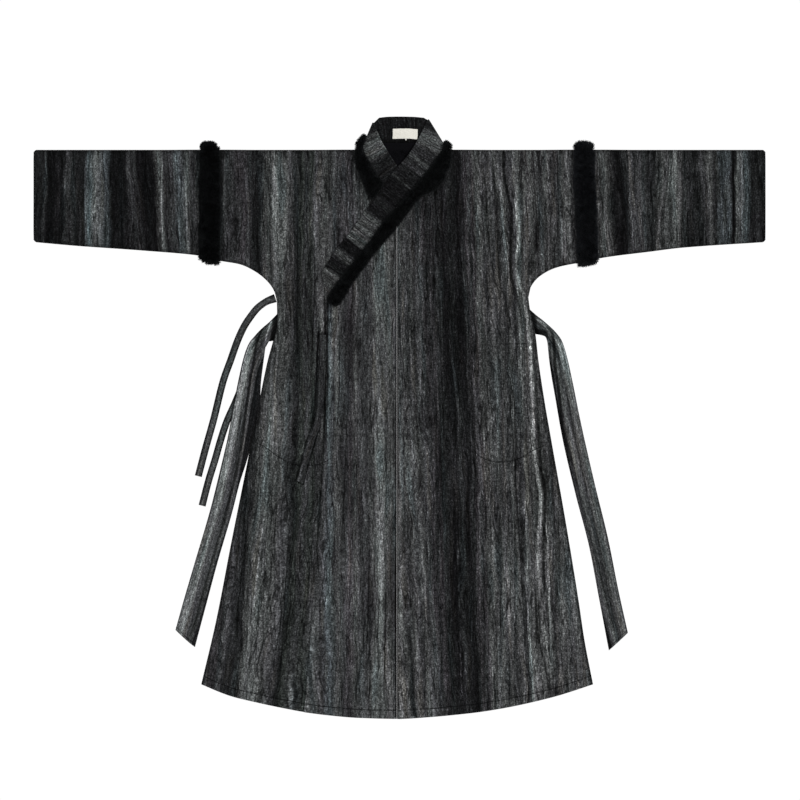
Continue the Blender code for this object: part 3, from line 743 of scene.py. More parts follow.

# bands of the warp: where each shade is reached, in millimetres across the cloth
WARPS = {
    "front_right": [
        (-400, "brown"),
        (-372, "dark"),
        (-350, "slate"),
        (-330, "plum"),
        (-320, "slate"),
        (-310, "dark"),
        (-292, "dark"),
        (-280, "mid"),
        (-262, "light"),
        (-240, "mid"),
        (-228, "slate"),
        (-218, "dark"),
        (-206, "green"),
        (-196, "slate"),
        (-184, "green"),
        (-174, "slate"),
        (-162, "mid"),
        (-150, "mid"),
        (-138, "slate"),
        (-112, "plum"),
        (-92, "slate"),
        (-60, "mid"),
        (-30, "slate"),
        (-5, "dark"),
    ],
    "overlap": [
        (-200, "mid"),
        (-156, "slate"),
        (-146, "blue"),
        (-132, "mid"),
        (-118, "slate"),
        (-104, "plum"),
        (-92, "mid"),
        (-80, "slate"),
        (-66, "slate"),
        (-56, "mid"),
        (-44, "light"),
        (-34, "light"),
        (-24, "mid"),
        (-15, "mid"),
        (-9, "slate"),
        (-5, "dark"),
    ],
    "front_left": [
        (-46, "mid"),
        (-34, "mid"),
        (-18, "mid"),
        (-9, "slate"),
        (-2, "mid"),
        (10, "slate"),
        (22, "mid"),
        (30, "slate"),
        (40, "slate"),
        (47, "plum"),
        (54, "dark"),
        (61, "plum"),
        (68, "dark"),
        (82, "dark"),
        (88, "black"),
        (95, "black"),
        (104, "dark"),
        (111, "dark"),
        (118, "black"),
        (126, "black"),
        (132, "dark"),
        (142, "plum"),
        (149, "slate"),
        (154, "plum"),
        (161, "mid"),
        (172, "mid"),
        (180, "slate"),
        (188, "mid"),
        (194, "slate"),
        (203, "mid"),
        (212, "slate"),
        (222, "mid"),
        (231, "slate"),
        (238, "slate"),
        (244, "light"),
        (252, "mid"),
        (264, "mid"),
        (280, "mid"),
        (296, "slate"),
        (312, "mid"),
        (330, "slate"),
        (346, "mid"),
        (376, "slate"),
        (402, "plum"),
    ],
    "sleeve_right": [
        (-769, "dark"),
        (-748, "dark"),
        (-744, "slate"),
        (-738, "black"),
        (-706, "black"),
        (-696, "slate"),
        (-680, "dark"),
        (-662, "dark"),
        (-650, "blue"),
        (-632, "light"),
        (-612, "blue"),
        (-602, "black"),
        (-574, "black"),
        (-564, "slate"),
        (-550, "slate"),
        (-542, "black"),
        (-516, "black"),
        (-508, "mid"),
        (-498, "light"),
        (-490, "slate"),
        (-470, "slate"),
        (-460, "blue"),
        (-444, "light"),
        (-432, "slate"),
        (-398, "mid"),
    ],
    "sleeve_left": [
        (391, "slate"),
        (416, "mid"),
        (430, "light"),
        (442, "mid"),
        (452, "black"),
        (470, "black"),
        (480, "slate"),
        (512, "slate"),
        (524, "dark"),
        (538, "dark"),
        (548, "mid"),
        (572, "light"),
        (586, "mid"),
        (596, "dark"),
        (622, "dark"),
        (636, "slate"),
        (654, "mid"),
        (664, "dark"),
        (676, "blue"),
        (690, "blue"),
        (697, "black"),
        (703, "black"),
        (708, "light"),
        (728, "blue"),
        (740, "dark"),
        (769, "dark"),
    ],
    "collar": [
        (0, "mid"),
        (24, "mid"),
        (26, "pale"),
        (30, "pale"),
        (32, "black"),
        (44, "dark"),
        (52, "black"),
        (62, "dark"),
        (69, "mid"),
        (73, "light"),
        (79, "slate"),
        (85, "black"),
        (107, "black"),
        (110, "light"),
        (128, "mid"),
        (142, "light"),
        (156, "mid"),
        (172, "light"),
        (178, "slate"),
        (181, "black"),
        (214, "dark"),
        (222, "black"),
        (269.5, "black"),
        (272, "light"),
        (274.5, "black"),
        (300, "dark"),
        (310, "slate"),
        (322, "dark"),
        (329, "light"),
        (334, "dark"),
        (346, "slate"),
        (354, "dark"),
        (362, "mid"),
        (367, "light"),
        (386, "light"),
        (398, "dark"),
        (546, "dark"),
        (554, "mid"),
        (566, "light"),
        (590, "light"),
        (598, "mid"),
        (606, "dark"),
        (900, "black"),
    ],
    "sash_right": [
        (0, "black"),
        (2, "slate"),
        (5, "light"),
        (16, "light"),
        (20, "mid"),
        (24, "slate"),
        (33, "slate"),
        (38, "mid"),
        (43, "slate"),
        (46, "black"),
    ],
    "sash_left": [
        (0, "black"),
        (2, "slate"),
        (6, "light"),
        (17, "mid"),
        (22, "dark"),
        (27, "slate"),
        (33, "light"),
        (40, "slate"),
        (43.5, "slate"),
        (45.5, "black"),
    ],
    "tie_front": [(0, "dark"), (2, "slate"), (8, "slate"), (13, "slate"), (15, "dark")],
    "tie": [(0, "black"), (1.8, "dark"), (4, "mid"), (8, "light"), (12, "slate"), (13.6, "dark"), (15, "black")],
}


class Nodes:
    """A short way to write a material's nodes."""

    def __init__(self, name):
        self.material = bpy.data.materials.new(name)
        self.material.use_nodes = True
        self.tree = self.material.node_tree
        self.shader = self.tree.nodes["Principled BSDF"]

    def add(self, kind, **settings):
        node = self.tree.nodes.new(kind)
        for key, value in settings.items():
            setattr(node, key, value)
        return node

    def link(self, a, b):
        self.tree.links.new(a, b)

    def put(self, socket, value):
        if hasattr(value, "is_output"):
            self.link(value, socket)
        else:
            socket.default_value = value

    def math(self, kind, a, b=0.0, c=None, clamp=False):
        node = self.add("ShaderNodeMath", operation=kind, use_clamp=clamp)
        self.put(node.inputs[0], a)
        self.put(node.inputs[1], b)
        if c is not None:
            self.put(node.inputs[2], c)
        return node.outputs[0]

    def vector(self, x, y, z=0.0):
        node = self.add("ShaderNodeCombineXYZ")
        for socket, value in zip(node.inputs, (x, y, z)):
            self.put(socket, value)
        return node.outputs[0]

    def noise(self, vector, detail=2.0, rough=0.55, scale=1.0):
        node = self.add("ShaderNodeTexNoise", noise_dimensions="3D")
        self.link(vector, node.inputs["Vector"])
        node.inputs["Scale"].default_value = scale
        node.inputs["Detail"].default_value = detail
        node.inputs["Roughness"].default_value = rough
        return node.outputs["Fac"]

    def remap(self, value, a, b, c, d, smooth=False):
        node = self.add("ShaderNodeMapRange", interpolation_type="SMOOTHSTEP" if smooth else "LINEAR")
        self.link(value, node.inputs["Value"])
        for key, v in zip(("From Min", "From Max", "To Min", "To Max"), (a, b, c, d)):
            node.inputs[key].default_value = v
        return node.outputs["Result"]

    def mix(self, kind, fac, a, b):
        node = self.add("ShaderNodeMix", data_type="RGBA", blend_type=kind)
        self.put(node.inputs[0], fac)
        self.put(node.inputs[6], a)
        self.put(node.inputs[7], b)
        return node.outputs[2]

    def grey(self, value):
        node = self.add("ShaderNodeCombineColor")
        for socket in node.inputs[:3]:
            self.link(value, socket)
        return node.outputs[0]

    def curve(self, value, points):
        node = self.add("ShaderNodeFloatCurve")
        self.link(value, node.inputs["Value"])
        line = node.mapping.curves[0]
        while len(line.points) < len(points):
            line.points.new(0.5, 0.5)
        for point, (a, b) in zip(line.points, points):
            point.location = (a, b)
            point.handle_type = "AUTO_CLAMPED"
        node.mapping.update()
        return node.outputs[0]

    def ramp(self, value, stops):
        if len(stops) > 30:
            k = len(stops) // 2
            late = self.math("GREATER_THAN", value, stops[k][0])
            return self.mix("MIX", late, self.ramp(value, stops[: k + 1]), self.ramp(value, stops[k:]))
        node = self.add("ShaderNodeValToRGB")
        self.link(value, node.inputs["Fac"])
        ramp = node.color_ramp
        ramp.interpolation = "LINEAR"
        while len(ramp.elements) < len(stops):
            ramp.elements.new(1.0)
        for element, (place, colour) in zip(ramp.elements, stops):
            element.position = place
            element.color = (*colour, 1)
        return node.outputs["Color"]


TONE = 0.71


def wool(name, warp, seed, gain=1.0, wander=1.0, painted_light_and_seam_lines=(), painted_light_and_seam_arcs=(), band=False, vigour=1.0):
    """Streaky striped wool. Its weave attribute is (across the stripes, along them, shade) in millimetres.
    A line is (rows of drop and across, half width, rows of drop and strength): a lighter or darker streak drawn into
    the colour, mostly painted shadow along edges, steps, folds and roots and painted highlight along ridges, sometimes
    a dark seam or stitch line.
    An arc is the same with rows of across and drop. A band has finer, straighter stripes.
    """
    rows = WARPS[warp]
    n = Nodes(name)
    weave = n.add("ShaderNodeAttribute", attribute_name="weave").outputs["Vector"]
    split = n.add("ShaderNodeSeparateXYZ")
    n.link(weave, split.inputs[0])
    u, v, shade = split.outputs
    z = float(seed)

    def streak(across, length, offset, detail=2.0, rough=0.55, source=None):
        return n.noise(
            n.vector(
                n.math("MULTIPLY", source if source is not None else u, 1 / across),
                n.math("MULTIPLY", v, 1 / length),
                z + offset,
            ),
            detail,
            rough,
        )

    def off(value, amount, base=0.0):
        return n.math("MULTIPLY_ADD", n.math("SUBTRACT", value, 0.5), amount, base)

    us = off(streak(60, 420, 1, 1), 22.0 * wander, u)
    us = off(streak(24, 110, 2, 1), 14.0 * wander, us)
    wavy = off(streak(11, 30, 9, 1), 13.0 * min(wander, 0.6), us)
    thread = streak(2.6, 150, 4, 3, 0.6, wavy) if band else streak(5.0, 48, 4, 3, 0.62, wavy)
    low, high = rows[0][0], rows[-1][0]
    place = n.remap(off(thread, 2.5 if band else 13.0, us), low, high, 0, 1)
    colour = n.ramp(place, [((p - low) / (high - low), SHADES[s]) for p, s in rows])
    broad = streak(9.5, 260, 3, 2, 0.5, us)
    fleck = streak(3.2, 9, 5, 2, 0.62, wavy)
    patch = streak(30, 210, 15, 1, 0.5, us)
    nap = n.noise(n.vector(n.math("MULTIPLY", u, 1 / 2.4), n.math("MULTIPLY", v, 1 / 3.4), z + 8), 2, 0.6)
    crack = n.math("ABSOLUTE", n.math("SUBTRACT", streak(7.5, 60, 6, 1, 0.5, wavy), 0.5))
    crack = n.remap(crack, 0.0, 0.035, -0.65, 0.0, True)
    total = off(broad, 1.6 if band else 3.1)
    for part, weight in ((thread, 2.8), (fleck, 3.2), (nap, 4.2), (patch, 0.3 if band else 1.3)):
        total = off(part, weight, total)
    total = n.math("ADD", total, crack)
    rift = n.math("ABSOLUTE", n.math("SUBTRACT", streak(15, 190, 12, 2, 0.5, us), 0.5))
    total = n.math("ADD", total, n.remap(rift, 0.002, 0.02, -0.4 if band else -1.1, 0.0, True))
    vein = n.math("ABSOLUTE", n.math("SUBTRACT", streak(13, 130, 13, 2, 0.5, us), 0.46))
    total = n.math("ADD", total, n.remap(vein, 0.002, 0.018, 0.2 if band else 0.4, 0.0, True))
    total = n.math("MULTIPLY", total, vigour)
    if painted_light_and_seam_lines or painted_light_and_seam_arcs:
        spot = n.add("ShaderNodeSeparateXYZ")
        n.link(n.add("ShaderNodeAttribute", attribute_name="place").outputs["Vector"], spot.inputs[0])
        ways = [(spot.outputs[1], spot.outputs[0], painted_light_and_seam_lines), (spot.outputs[0], spot.outputs[1], painted_light_and_seam_arcs)]
        for run, side, drawn in ways:
            if not drawn:
                continue
            wobble = off(n.noise(n.vector(z, n.math("MULTIPLY", run, 1 / 22.0), 5.0), 2, 0.6), 3.4)
            broken = n.noise(n.vector(z + 3, n.math("MULTIPLY", run, 1 / 30.0), 9.0), 2, 0.6)
            broken = n.remap(broken, 0.3, 0.58, 0.65, 1.2)
            # each drawn line darkens or lightens the colour along its path: painted shade and painted highlight, and
            # some dark seam and stitch lines
            for path, half, strength in drawn:
                first, last = path[0][0], path[-1][0]
                xs = [q[1] for q in path]
                base, reach = min(xs) - 10, max(xs) - min(xs) + 20
                where = n.remap(run, first, last, 0, 1)
                mid = n.curve(where, [((q[0] - first) / (last - first), (q[1] - base) / reach) for q in path])
                mid = n.math("MULTIPLY_ADD", mid, reach, base)
                gap = n.math("ABSOLUTE", n.math("SUBTRACT", n.math("ADD", side, wobble), mid))
                near = n.remap(gap, half * 0.25, half, 1, 0, True)
                peak = max(abs(q[1]) for q in strength)
                power = n.curve(
                    where, [((q[0] - first) / (last - first), 0.5 + 0.5 * q[1] / peak) for q in strength]
                )
                power = n.math("MULTIPLY", n.math("SUBTRACT", power, 0.5), 2 * peak)
                inside = n.math("MULTIPLY", n.math("GREATER_THAN", run, first), n.math("LESS_THAN", run, last))
                near = n.math("MULTIPLY", near, inside)
                total = n.math("MULTIPLY_ADD", n.math("MULTIPLY", near, power), broken, total)
    value = n.math("MULTIPLY", n.math("POWER", 2.718, total), n.math("MULTIPLY", shade, gain * TONE))
    colour = n.mix("MULTIPLY", 1.0, colour, n.grey(value))
    tint = n.ramp(
        n.remap(streak(16, 200, 7, 1, 0.5, us), 0.3, 0.7, 0, 1),
        [
            (0.0, (0.92, 1.02, 1.03)),
            (0.3, (0.98, 1.0, 0.98)),
            (0.55, (1.0, 1.0, 1.0)),
            (0.75, (1.015, 0.99, 1.02)),
            (1.0, (1.05, 1.0, 0.94)),
        ],
    )
    colour = n.mix("MULTIPLY", 1.0, colour, tint)
    n.link(colour, n.shader.inputs["Base Color"])
    height = n.math("MULTIPLY", thread, 1.1)
    height = n.math("MULTIPLY_ADD", fleck, 0.8, height)
    height = n.math("MULTIPLY_ADD", nap, 0.6, height)
    height = n.math("MULTIPLY_ADD", crack, 0.4, height)
    bump = n.add("ShaderNodeBump")
    bump.inputs["Strength"].default_value = 0.9
    bump.inputs["Distance"].default_value = 0.0009
    n.link(height, bump.inputs["Height"])
    n.link(bump.outputs[0], n.shader.inputs["Normal"])
    n.shader.inputs["Roughness"].default_value = 0.95
    n.shader.inputs["Specular IOR Level"].default_value = 0.02
    n.shader.inputs["Sheen Weight"].default_value = 0.03
    n.shader.inputs["Sheen Roughness"].default_value = 0.5
    return n.material


def plain(name, colour, rough=0.9, sheen=0.0, bump=0.0, grain=900.0, gloss=0.02):
    n = Nodes(name)
    where = n.add("ShaderNodeTexCoord").outputs["Object"]
    speck = n.noise(where, 3, 0.6, grain)
    tone = n.remap(speck, 0.25, 0.75, 0.75, 1.25)
    n.link(n.mix("MULTIPLY", 1.0, (*colour, 1), n.grey(tone)), n.shader.inputs["Base Color"])
    n.shader.inputs["Roughness"].default_value = rough
    n.shader.inputs["Specular IOR Level"].default_value = gloss
    n.shader.inputs["Sheen Weight"].default_value = sheen
    if bump:
        node = n.add("ShaderNodeBump")
        node.inputs["Strength"].default_value = 0.6
        node.inputs["Distance"].default_value = bump
        n.link(speck, node.inputs["Height"])
        n.link(node.outputs[0], n.shader.inputs["Normal"])
    return n.material


# Lines drawn into the wool's colour, by drop: mostly painted shadow along edges, steps, folds and roots, and painted
# highlight along ridges; some are dark seam and stitch lines.
PAINTED_LIGHT_AND_SEAM_LINES = {
    "body_left": [
        (
            [(252, 244), (281, 252.6), (310, 261.5), (348, 267), (374, 270), (420, 274), (480, 278), (545, 281), (600, 281), (655, 286), (743, 296), (834, 291), (922, 295), (1029, 306), (1121, 318)],
            6.2,
            [(252, 0.65), (300, 1.0), (420, 1.3), (520, 1.3), (650, 1.4), (743, 1.4), (834, 1.3), (922, 0.9), (1029, 0.7), (1121, 0.4)],
        ),
        (
            [(300, 276), (420, 283), (525, 289), (655, 296), (743, 306), (834, 302), (922, 306), (1029, 317)],
            4.2,
            [(300, -0.3), (420, -1.0), (655, -1.2), (743, -1.4), (834, -1.3), (922, -0.9), (1029, -0.4)],
        ),
        ([(700, 306), (819, 311), (900, 313), (987, 316), (1121, 324)], 4.0, [(700, 0.0), (780, 0.8), (900, 1.0), (1000, 0.7), (1121, 0.4)]),
        ([(860, 258), (930, 266), (1010, 272), (1100, 277)], 3.6, [(860, 0.0), (930, 0.8), (1010, 1.0), (1100, 0.4)]),
        ([(760, 256), (800, 258), (850, 259), (900, 261)], 8.0, [(760, 0.0), (800, -0.7), (850, -0.9), (900, 0.0)]),
        ([(600, 243), (680, 243), (770, 244)], 2.8, [(600, 0.0), (680, -1.0), (770, -0.3)]),
        ([(900, 283), (1011, 290), (1091, 307), (1130, 312)], 3.2, [(900, 0.0), (1011, -1.2), (1091, -1.1), (1130, -0.5)]),
        ([(780, 6), (900, 10), (1010, 17), (1100, 24), (1188, 28)], 9.0, [(780, -0.3), (900, -0.7), (1010, -1.0), (1188, -1.2)]),
        ([(960, 34), (1060, 40), (1170, 46)], 8.0, [(960, 0.0), (1060, 0.5), (1170, 0.4)]),
        ([(365, 101), (421, 107), (467, 115), (507, 119), (550, 124), (600, 128)], 4.0, [(365, 0.3), (421, 0.8), (490, 0.6), (530, 0.9), (600, 0.1)]),
        (
            [(3, 237), (52, 235.5), (96, 241), (139, 248.5), (174, 251), (203, 250), (232, 244), (253, 244)],
            5.4,
            [(3, 0.3), (60, 0.4), (110, 0.5), (180, 0.6), (253, 0.65)],
        ),
        ([(10, 191), (72, 199), (116, 203.5), (188, 204), (275, 212), (313, 222), (361, 229)], 4.8, [(10, -0.5), (60, -1.3), (188, -0.8), (290, -1.1), (361, -0.2)]),
        (
            [(3, 219.5), (52, 220), (87, 226), (139, 235), (180, 234), (252, 232.5), (290, 241), (333, 252), (371, 258)],
            4.8,
            [(3, -1.3), (52, -1.5), (139, -1.5), (200, -1.0), (290, -1.4), (371, -0.3)],
        ),
        ([(3, 256), (43, 254.5), (96, 257), (139, 259), (190, 259), (230, 254)], 5.0, [(3, -1.4), (60, -1.3), (139, -1.0), (230, -0.4)]),
        ([(110, 295), (145, 290), (185, 287.5), (232, 279), (262, 274)], 9.0, [(110, 0.0), (150, -0.7), (215, -1.1), (262, -0.8)]),
        ([(29, 204), (87, 212), (145, 218), (203, 223.5), (252, 227), (290, 233), (333, 243)], 4.6, [(29, 0.4), (87, 0.8), (200, 0.7), (290, 0.7), (333, 0.1)]),
        ([(40, 176), (86, 181.5), (139, 185), (200, 190)], 2.6, [(40, -0.4), (86, -1.0), (200, -0.3)]),
        ([(8, 331), (120, 333), (230, 333)], 2.6, [(8, -0.8), (120, -0.8), (230, -0.4)]),
        ([(120, 342), (180, 343), (232, 343)], 5.0, [(120, 0.2), (180, 0.6), (232, 0.4)]),
        (
            [(190, -4.5), (420, -4.5), (650, -4.7), (1190, -4.9)],
            2.2,
            [(190, -0.3), (300, -0.6), (480, -1.2), (700, -1.6), (1190, -1.4)],
        ),
        (
            [(300, 1.5), (600, 2.5), (900, 2.5), (1190, 3)],
            8.0,
            [(300, 0.0), (480, 0.1), (700, 0.4), (900, 0.5), (1190, 0.4)],
        ),
        ([(620, 117), (800, 121), (1000, 126), (1150, 131)], 2.8, [(620, 0.0), (850, 0.9), (1000, 1.3), (1150, 1.1)]),
        ([(300, 86), (500, 92), (800, 104), (1050, 108)], 2.4, [(300, 0.0), (450, 0.7), (700, 0.0), (900, 0.6), (1050, 0.0)]),
        ([(560, 236), (760, 248), (1000, 262)], 2.2, [(560, 0.0), (800, -1.1), (1000, -0.4)]),
    ],
    "overlap": [
        (
            [(120, -6.5), (420, -6.5), (1190, -6.8)],
            3.6,
            [(120, -0.2), (300, -0.4), (500, -1.1), (1190, -1.9)],
        ),
        ([(400, -143), (500, -146), (620, -152), (700, -157)], 5.0, [(400, 0.0), (470, 0.5), (600, 0.4), (700, 0.0)]),
        # painted shade along the overlap's free edge
        ([(309, -151.5), (420, -151), (546, -152.5), (700, -160), (945, -179)], 2.4, [(309, -0.3), (380, -1.2), (470, -1.2), (620, -0.5), (945, 0.0)]),
        ([(330, -128), (470, -126), (620, -133)], 2.4, [(330, -0.4), (470, -1.0), (620, 0.0)]),
        ([(480, -108), (640, -113), (840, -122)], 2.4, [(480, 0.0), (640, -1.0), (840, -0.2)]),
        ([(820, -63), (960, -66), (1120, -72)], 2.2, [(820, 0.0), (960, -1.3), (1120, -0.5)]),
        ([(520, -38), (800, -42), (1100, -44)], 11.0, [(520, 0.1), (800, 0.35), (1100, 0.25)]),
        ([(900, -28), (1010, -30), (1160, -33)], 2.0, [(900, 0.0), (1010, -1.2), (1160, -0.6)]),
    ],
    "body_right": [
        # painted shadow cast by the overlap's free edge
        (
            [(310, -156.5), (420, -156), (546, -157.5), (630, -161.5), (746, -168.5), (945, -184.5)],
            3.2,
            [(310, -0.6), (400, -2.0), (546, -1.6), (640, -0.7), (760, -0.4), (945, 0.0)],
        ),
        # painted shadows along both edges of the front tie
        (
            [(380, -170), (420, -172), (480, -175), (536, -178), (575, -184), (609, -194), (640, -204), (672, -213), (696, -218)],
            3.2,
            [(380, -2.0), (420, -2.2), (520, -1.6), (600, -1.0), (696, -0.8)],
        ),
        ([(575, -164.5), (609, -176.5), (640, -185.5), (672, -194.5), (700, -201)], 2.8, [(575, -0.8), (640, -1.5), (700, -1.5)]),
        ([(60, -216), (300, -214), (560, -224)], 2.4, [(60, 0.0), (240, -0.9), (560, -0.2)]),
        ([(180, -178), (330, -180), (420, -184)], 2.4, [(180, 0.0), (300, -1.2), (420, -1.0)]),
        ([(640, -268), (800, -288), (1060, -318)], 2.4, [(640, 0.0), (860, 0.8), (1060, 0.1)]),
        ([(700, -226), (860, -236), (1100, -250)], 2.4, [(700, 0.0), (900, -1.0), (1100, -0.3)]),
    ],
    "sash_right": [
        # painted shade at the sash's gathered root
        ([(338, -257), (365, -262), (385, -265.5), (404, -268)], 8.0, [(338, -3.2), (404, -3.2)]),
        ([(348, -265), (363, -271), (390, -279), (412, -284)], 2.4, [(348, 0.6), (370, 1.2), (390, 1.2), (412, 0.2)]),
        ([(350, -272), (370, -283), (404, -294)], 10.0, [(350, -1.2), (404, -1.0)]),
        (
            [(358, -279), (380, -291), (405, -300), (450, -307), (472, -312), (520, -319), (567, -325), (640, -336), (760, -364), (900, -404), (1010, -434)],
            4.2,
            [(358, -1.0), (400, -1.9), (520, -1.7), (760, -1.2), (1010, -0.9)],
        ),
        ([(395, -312), (470, -325), (510, -334), (570, -344), (700, -366), (860, -410), (1010, -455)], 11.0, [(395, 0.0), (430, 0.7), (700, 0.5), (1010, 0.3)]),
        ([(404, -291), (470, -302), (520, -307), (570, -313), (660, -328), (760, -352)], 8.0, [(404, -0.5), (560, -0.3), (760, 0.0)]),
        ([(366, -288), (390, -300), (420, -309)], 2.6, [(366, -1.4), (420, -0.6)]),
    ],
    "sash_left": [
        # painted shade at the sash's gathered root
        ([(334, 278), (360, 283), (386, 286)], 8.0, [(334, -2.4), (386, -2.6)]),
        (
            [(370, 312), (399, 324), (426, 325.5), (453, 327), (491, 333), (529, 337), (567, 341), (640, 358), (760, 388), (900, 424), (1010, 450)],
            4.6,
            [(370, -0.8), (399, -1.8), (491, -1.8), (640, -1.2), (1010, -0.9)],
        ),
        ([(395, 330), (414, 337), (453, 342), (491, 346), (548, 352), (640, 374), (800, 420)], 6.0, [(395, 0.0), (430, 0.8), (640, 0.5), (800, 0.2)]),
        ([(395, 338), (418, 346), (453, 353.5), (481, 359), (540, 370)], 2.6, [(395, 0.0), (430, 1.1), (540, 0.0)]),
        ([(404, 316), (440, 318), (480, 323)], 2.6, [(404, -1.2), (480, -0.4)]),
    ],
    "sleeve_right": [
        ([(4, -498), (120, -500), (200, -496)], 2.2, [(4, 0.8), (120, 1.1), (200, 0.6)]),
        ([(0, -446), (100, -448), (215, -444)], 2.4, [(0, 0.5), (100, 0.8), (215, 0.5)]),
    ],
    "sleeve_left": [
        ([(0, 700), (100, 701), (200, 702)], 2.6, [(0, -1.6), (100, -1.8), (200, -1.4)]),
        ([(0, 481), (90, 484), (210, 492)], 2.2, [(0, 0.5), (90, 0.9), (210, 0.4)]),
    ],
}
# Arcs drawn into the wool's colour, by across: dark stitch lines at pockets and hems, painted shade at the front tie's
# root and end and at the left sash's root, darker sash ends, and painted highlight on the left sash's pleats.
PAINTED_LIGHT_AND_SEAM_ARCS = {
    "body_right": [
        ([(-304, 613), (-280, 625), (-253, 645), (-213, 661.5), (-180, 661.5), (-163, 657)], 1.8, [(-304, -0.7), (-213, -1.0), (-163, -0.7)]),
        ([(-412, 1104), (-352, 1129), (-291, 1144), (-238, 1155), (-201, 1162)], 1.9, [(-412, -0.9), (-201, -0.9)]),
        ([(-218, 692), (-210, 699), (-200, 702)], 2.6, [(-218, -1.5), (-200, -1.5)]),
        ([(-173, 394), (-163, 389), (-155, 386)], 8.0, [(-173, -0.4), (-164, -1.1), (-155, -1.0)]),
    ],
    "overlap": [
        ([(-159, 656), (-148, 650), (-138, 643)], 1.8, [(-159, -0.7), (-138, -0.6)]),
        ([(-155, 387), (-146, 386), (-136, 391)], 8.0, [(-155, -1.0), (-146, -0.9), (-136, -0.4)]),
        ([(-200, 1162), (-146, 1169), (-83, 1174), (-6, 1176)], 1.9, [(-200, -0.9), (-6, -0.9)]),
    ],
    "body_left": [
        ([(158, 633), (174, 646.5), (192, 653), (215, 655), (240, 651), (261, 642.5), (275, 633), (308, 619)], 1.8, [(158, -0.7), (215, -1.0), (308, -0.7)]),
        ([(203, 407), (287, 407)], 1.8, [(203, -0.4), (245, -0.6), (287, -0.4)]),
        ([(-5, 1176), (64, 1172), (148, 1164), (232, 1151), (316, 1132), (401, 1104)], 1.9, [(-5, -0.9), (401, -0.9)]),
    ],
    "sash_right": [
        ([(-469, 1002), (-450, 1020.5), (-428, 1039)], 1.7, [(-469, -1.1), (-428, -1.1)]),
        ([(-473, 1009), (-452, 1029), (-428, 1047)], 3.0, [(-473, -2.0), (-428, -2.0)]),
    ],
    "sash_left": [
        ([(441, 1043), (460, 1026), (479, 1007)], 1.7, [(441, -1.1), (479, -1.1)]),
        ([(438, 1053), (460, 1034), (483, 1013)], 2.6, [(438, -2.0), (483, -2.0)]),
        # painted shadow in the wedge beside the sash's root
        ([(274, 380), (290, 382), (312, 389)], 12.0, [(274, -2.6), (295, -2.6), (312, -1.4)]),
        ([(284, 352), (300, 361), (318, 376)], 2.4, [(284, 0.2), (300, 0.8), (318, 0.2)]),
        ([(282, 362), (296, 370), (312, 384)], 2.2, [(282, 0.2), (296, 0.6), (312, 0.2)]),
    ],
}
WOOL = {
    "body_right": wool("wool_right_front", "front_right", 3, painted_light_and_seam_lines=PAINTED_LIGHT_AND_SEAM_LINES["body_right"], painted_light_and_seam_arcs=PAINTED_LIGHT_AND_SEAM_ARCS["body_right"], vigour=1.06),
    "body_left": wool("wool_left_front", "front_left", 17, 0.98, painted_light_and_seam_lines=PAINTED_LIGHT_AND_SEAM_LINES["body_left"], painted_light_and_seam_arcs=PAINTED_LIGHT_AND_SEAM_ARCS["body_left"], vigour=1.12),
    "overlap": wool("wool_overlap", "overlap", 29, painted_light_and_seam_lines=PAINTED_LIGHT_AND_SEAM_LINES["overlap"], painted_light_and_seam_arcs=PAINTED_LIGHT_AND_SEAM_ARCS["overlap"]),
    "sleeve_right": wool("wool_right_sleeve", "sleeve_right", 41, 0.88, 1.0, PAINTED_LIGHT_AND_SEAM_LINES["sleeve_right"]),
    "sleeve_left": wool("wool_left_sleeve", "sleeve_left", 53, 0.76, 1.0, PAINTED_LIGHT_AND_SEAM_LINES["sleeve_left"], vigour=1.08),
    "collar": wool("wool_collar", "collar", 67, 0.79, 0.1, band=True, vigour=1.2),
    "sash_right": wool("wool_right_sash", "sash_right", 71, 1.47, 0.2, PAINTED_LIGHT_AND_SEAM_LINES["sash_right"], PAINTED_LIGHT_AND_SEAM_ARCS["sash_right"], True),
    "sash_left": wool("wool_left_sash", "sash_left", 83, 1.2, 0.2, PAINTED_LIGHT_AND_SEAM_LINES["sash_left"], PAINTED_LIGHT_AND_SEAM_ARCS["sash_left"], True),
    "tie": wool("wool_tie", "tie", 97, 0.9, 0.1, band=True),
    "tie_front": wool("wool_front_tie", "tie_front", 103, 0.8, 0.5),
}
FUR = plain("black_fur", (0.0072, 0.0079, 0.0083), 0.6, 0.0, 0.0, 500.0, 0.03)
FUR_LIGHTER = plain("dark_grey_fur", (0.0118, 0.0128, 0.0146), 0.6, 0.0, 0.0, 500.0, 0.04)
# near-black lining: its own black with painted shade inside the neck
LINING_IN_SHADE = plain("black_lining_in_shade", (0.0022, 0.0022, 0.0028), 0.85, 0.0, 0.0003, 700.0)
THREAD = plain("dark_thread", (0.004, 0.004, 0.0045), 0.7)
LABEL = plain("woven_label", (0.50, 0.485, 0.44), 0.7, 0.0, 0.0003, 700.0)


# ---------------------------------------------------------------- body halves
ROW_STEP, COLUMN_STEP = 8.0, 4.4


def spread(a, b, step, near_b=()):
    """Places from a to b about a step apart, with a few more close to b."""
    n = max(2, int(round(abs(b - a) / step)))
    share = list(np.linspace(0, 1, n + 1))
    length = abs(b - a)
    share += [1 - v / length for v in near_b if v < length * 0.5]
    share = sorted(set(round(s, 6) for s in share))
    kept = [share[0]]
    for s in share[1:]:
        if (s - kept[-1]) * length > 0.7:
            kept.append(s)
    kept[-1] = 1.0
    return [a + (b - a) * s for s in kept]


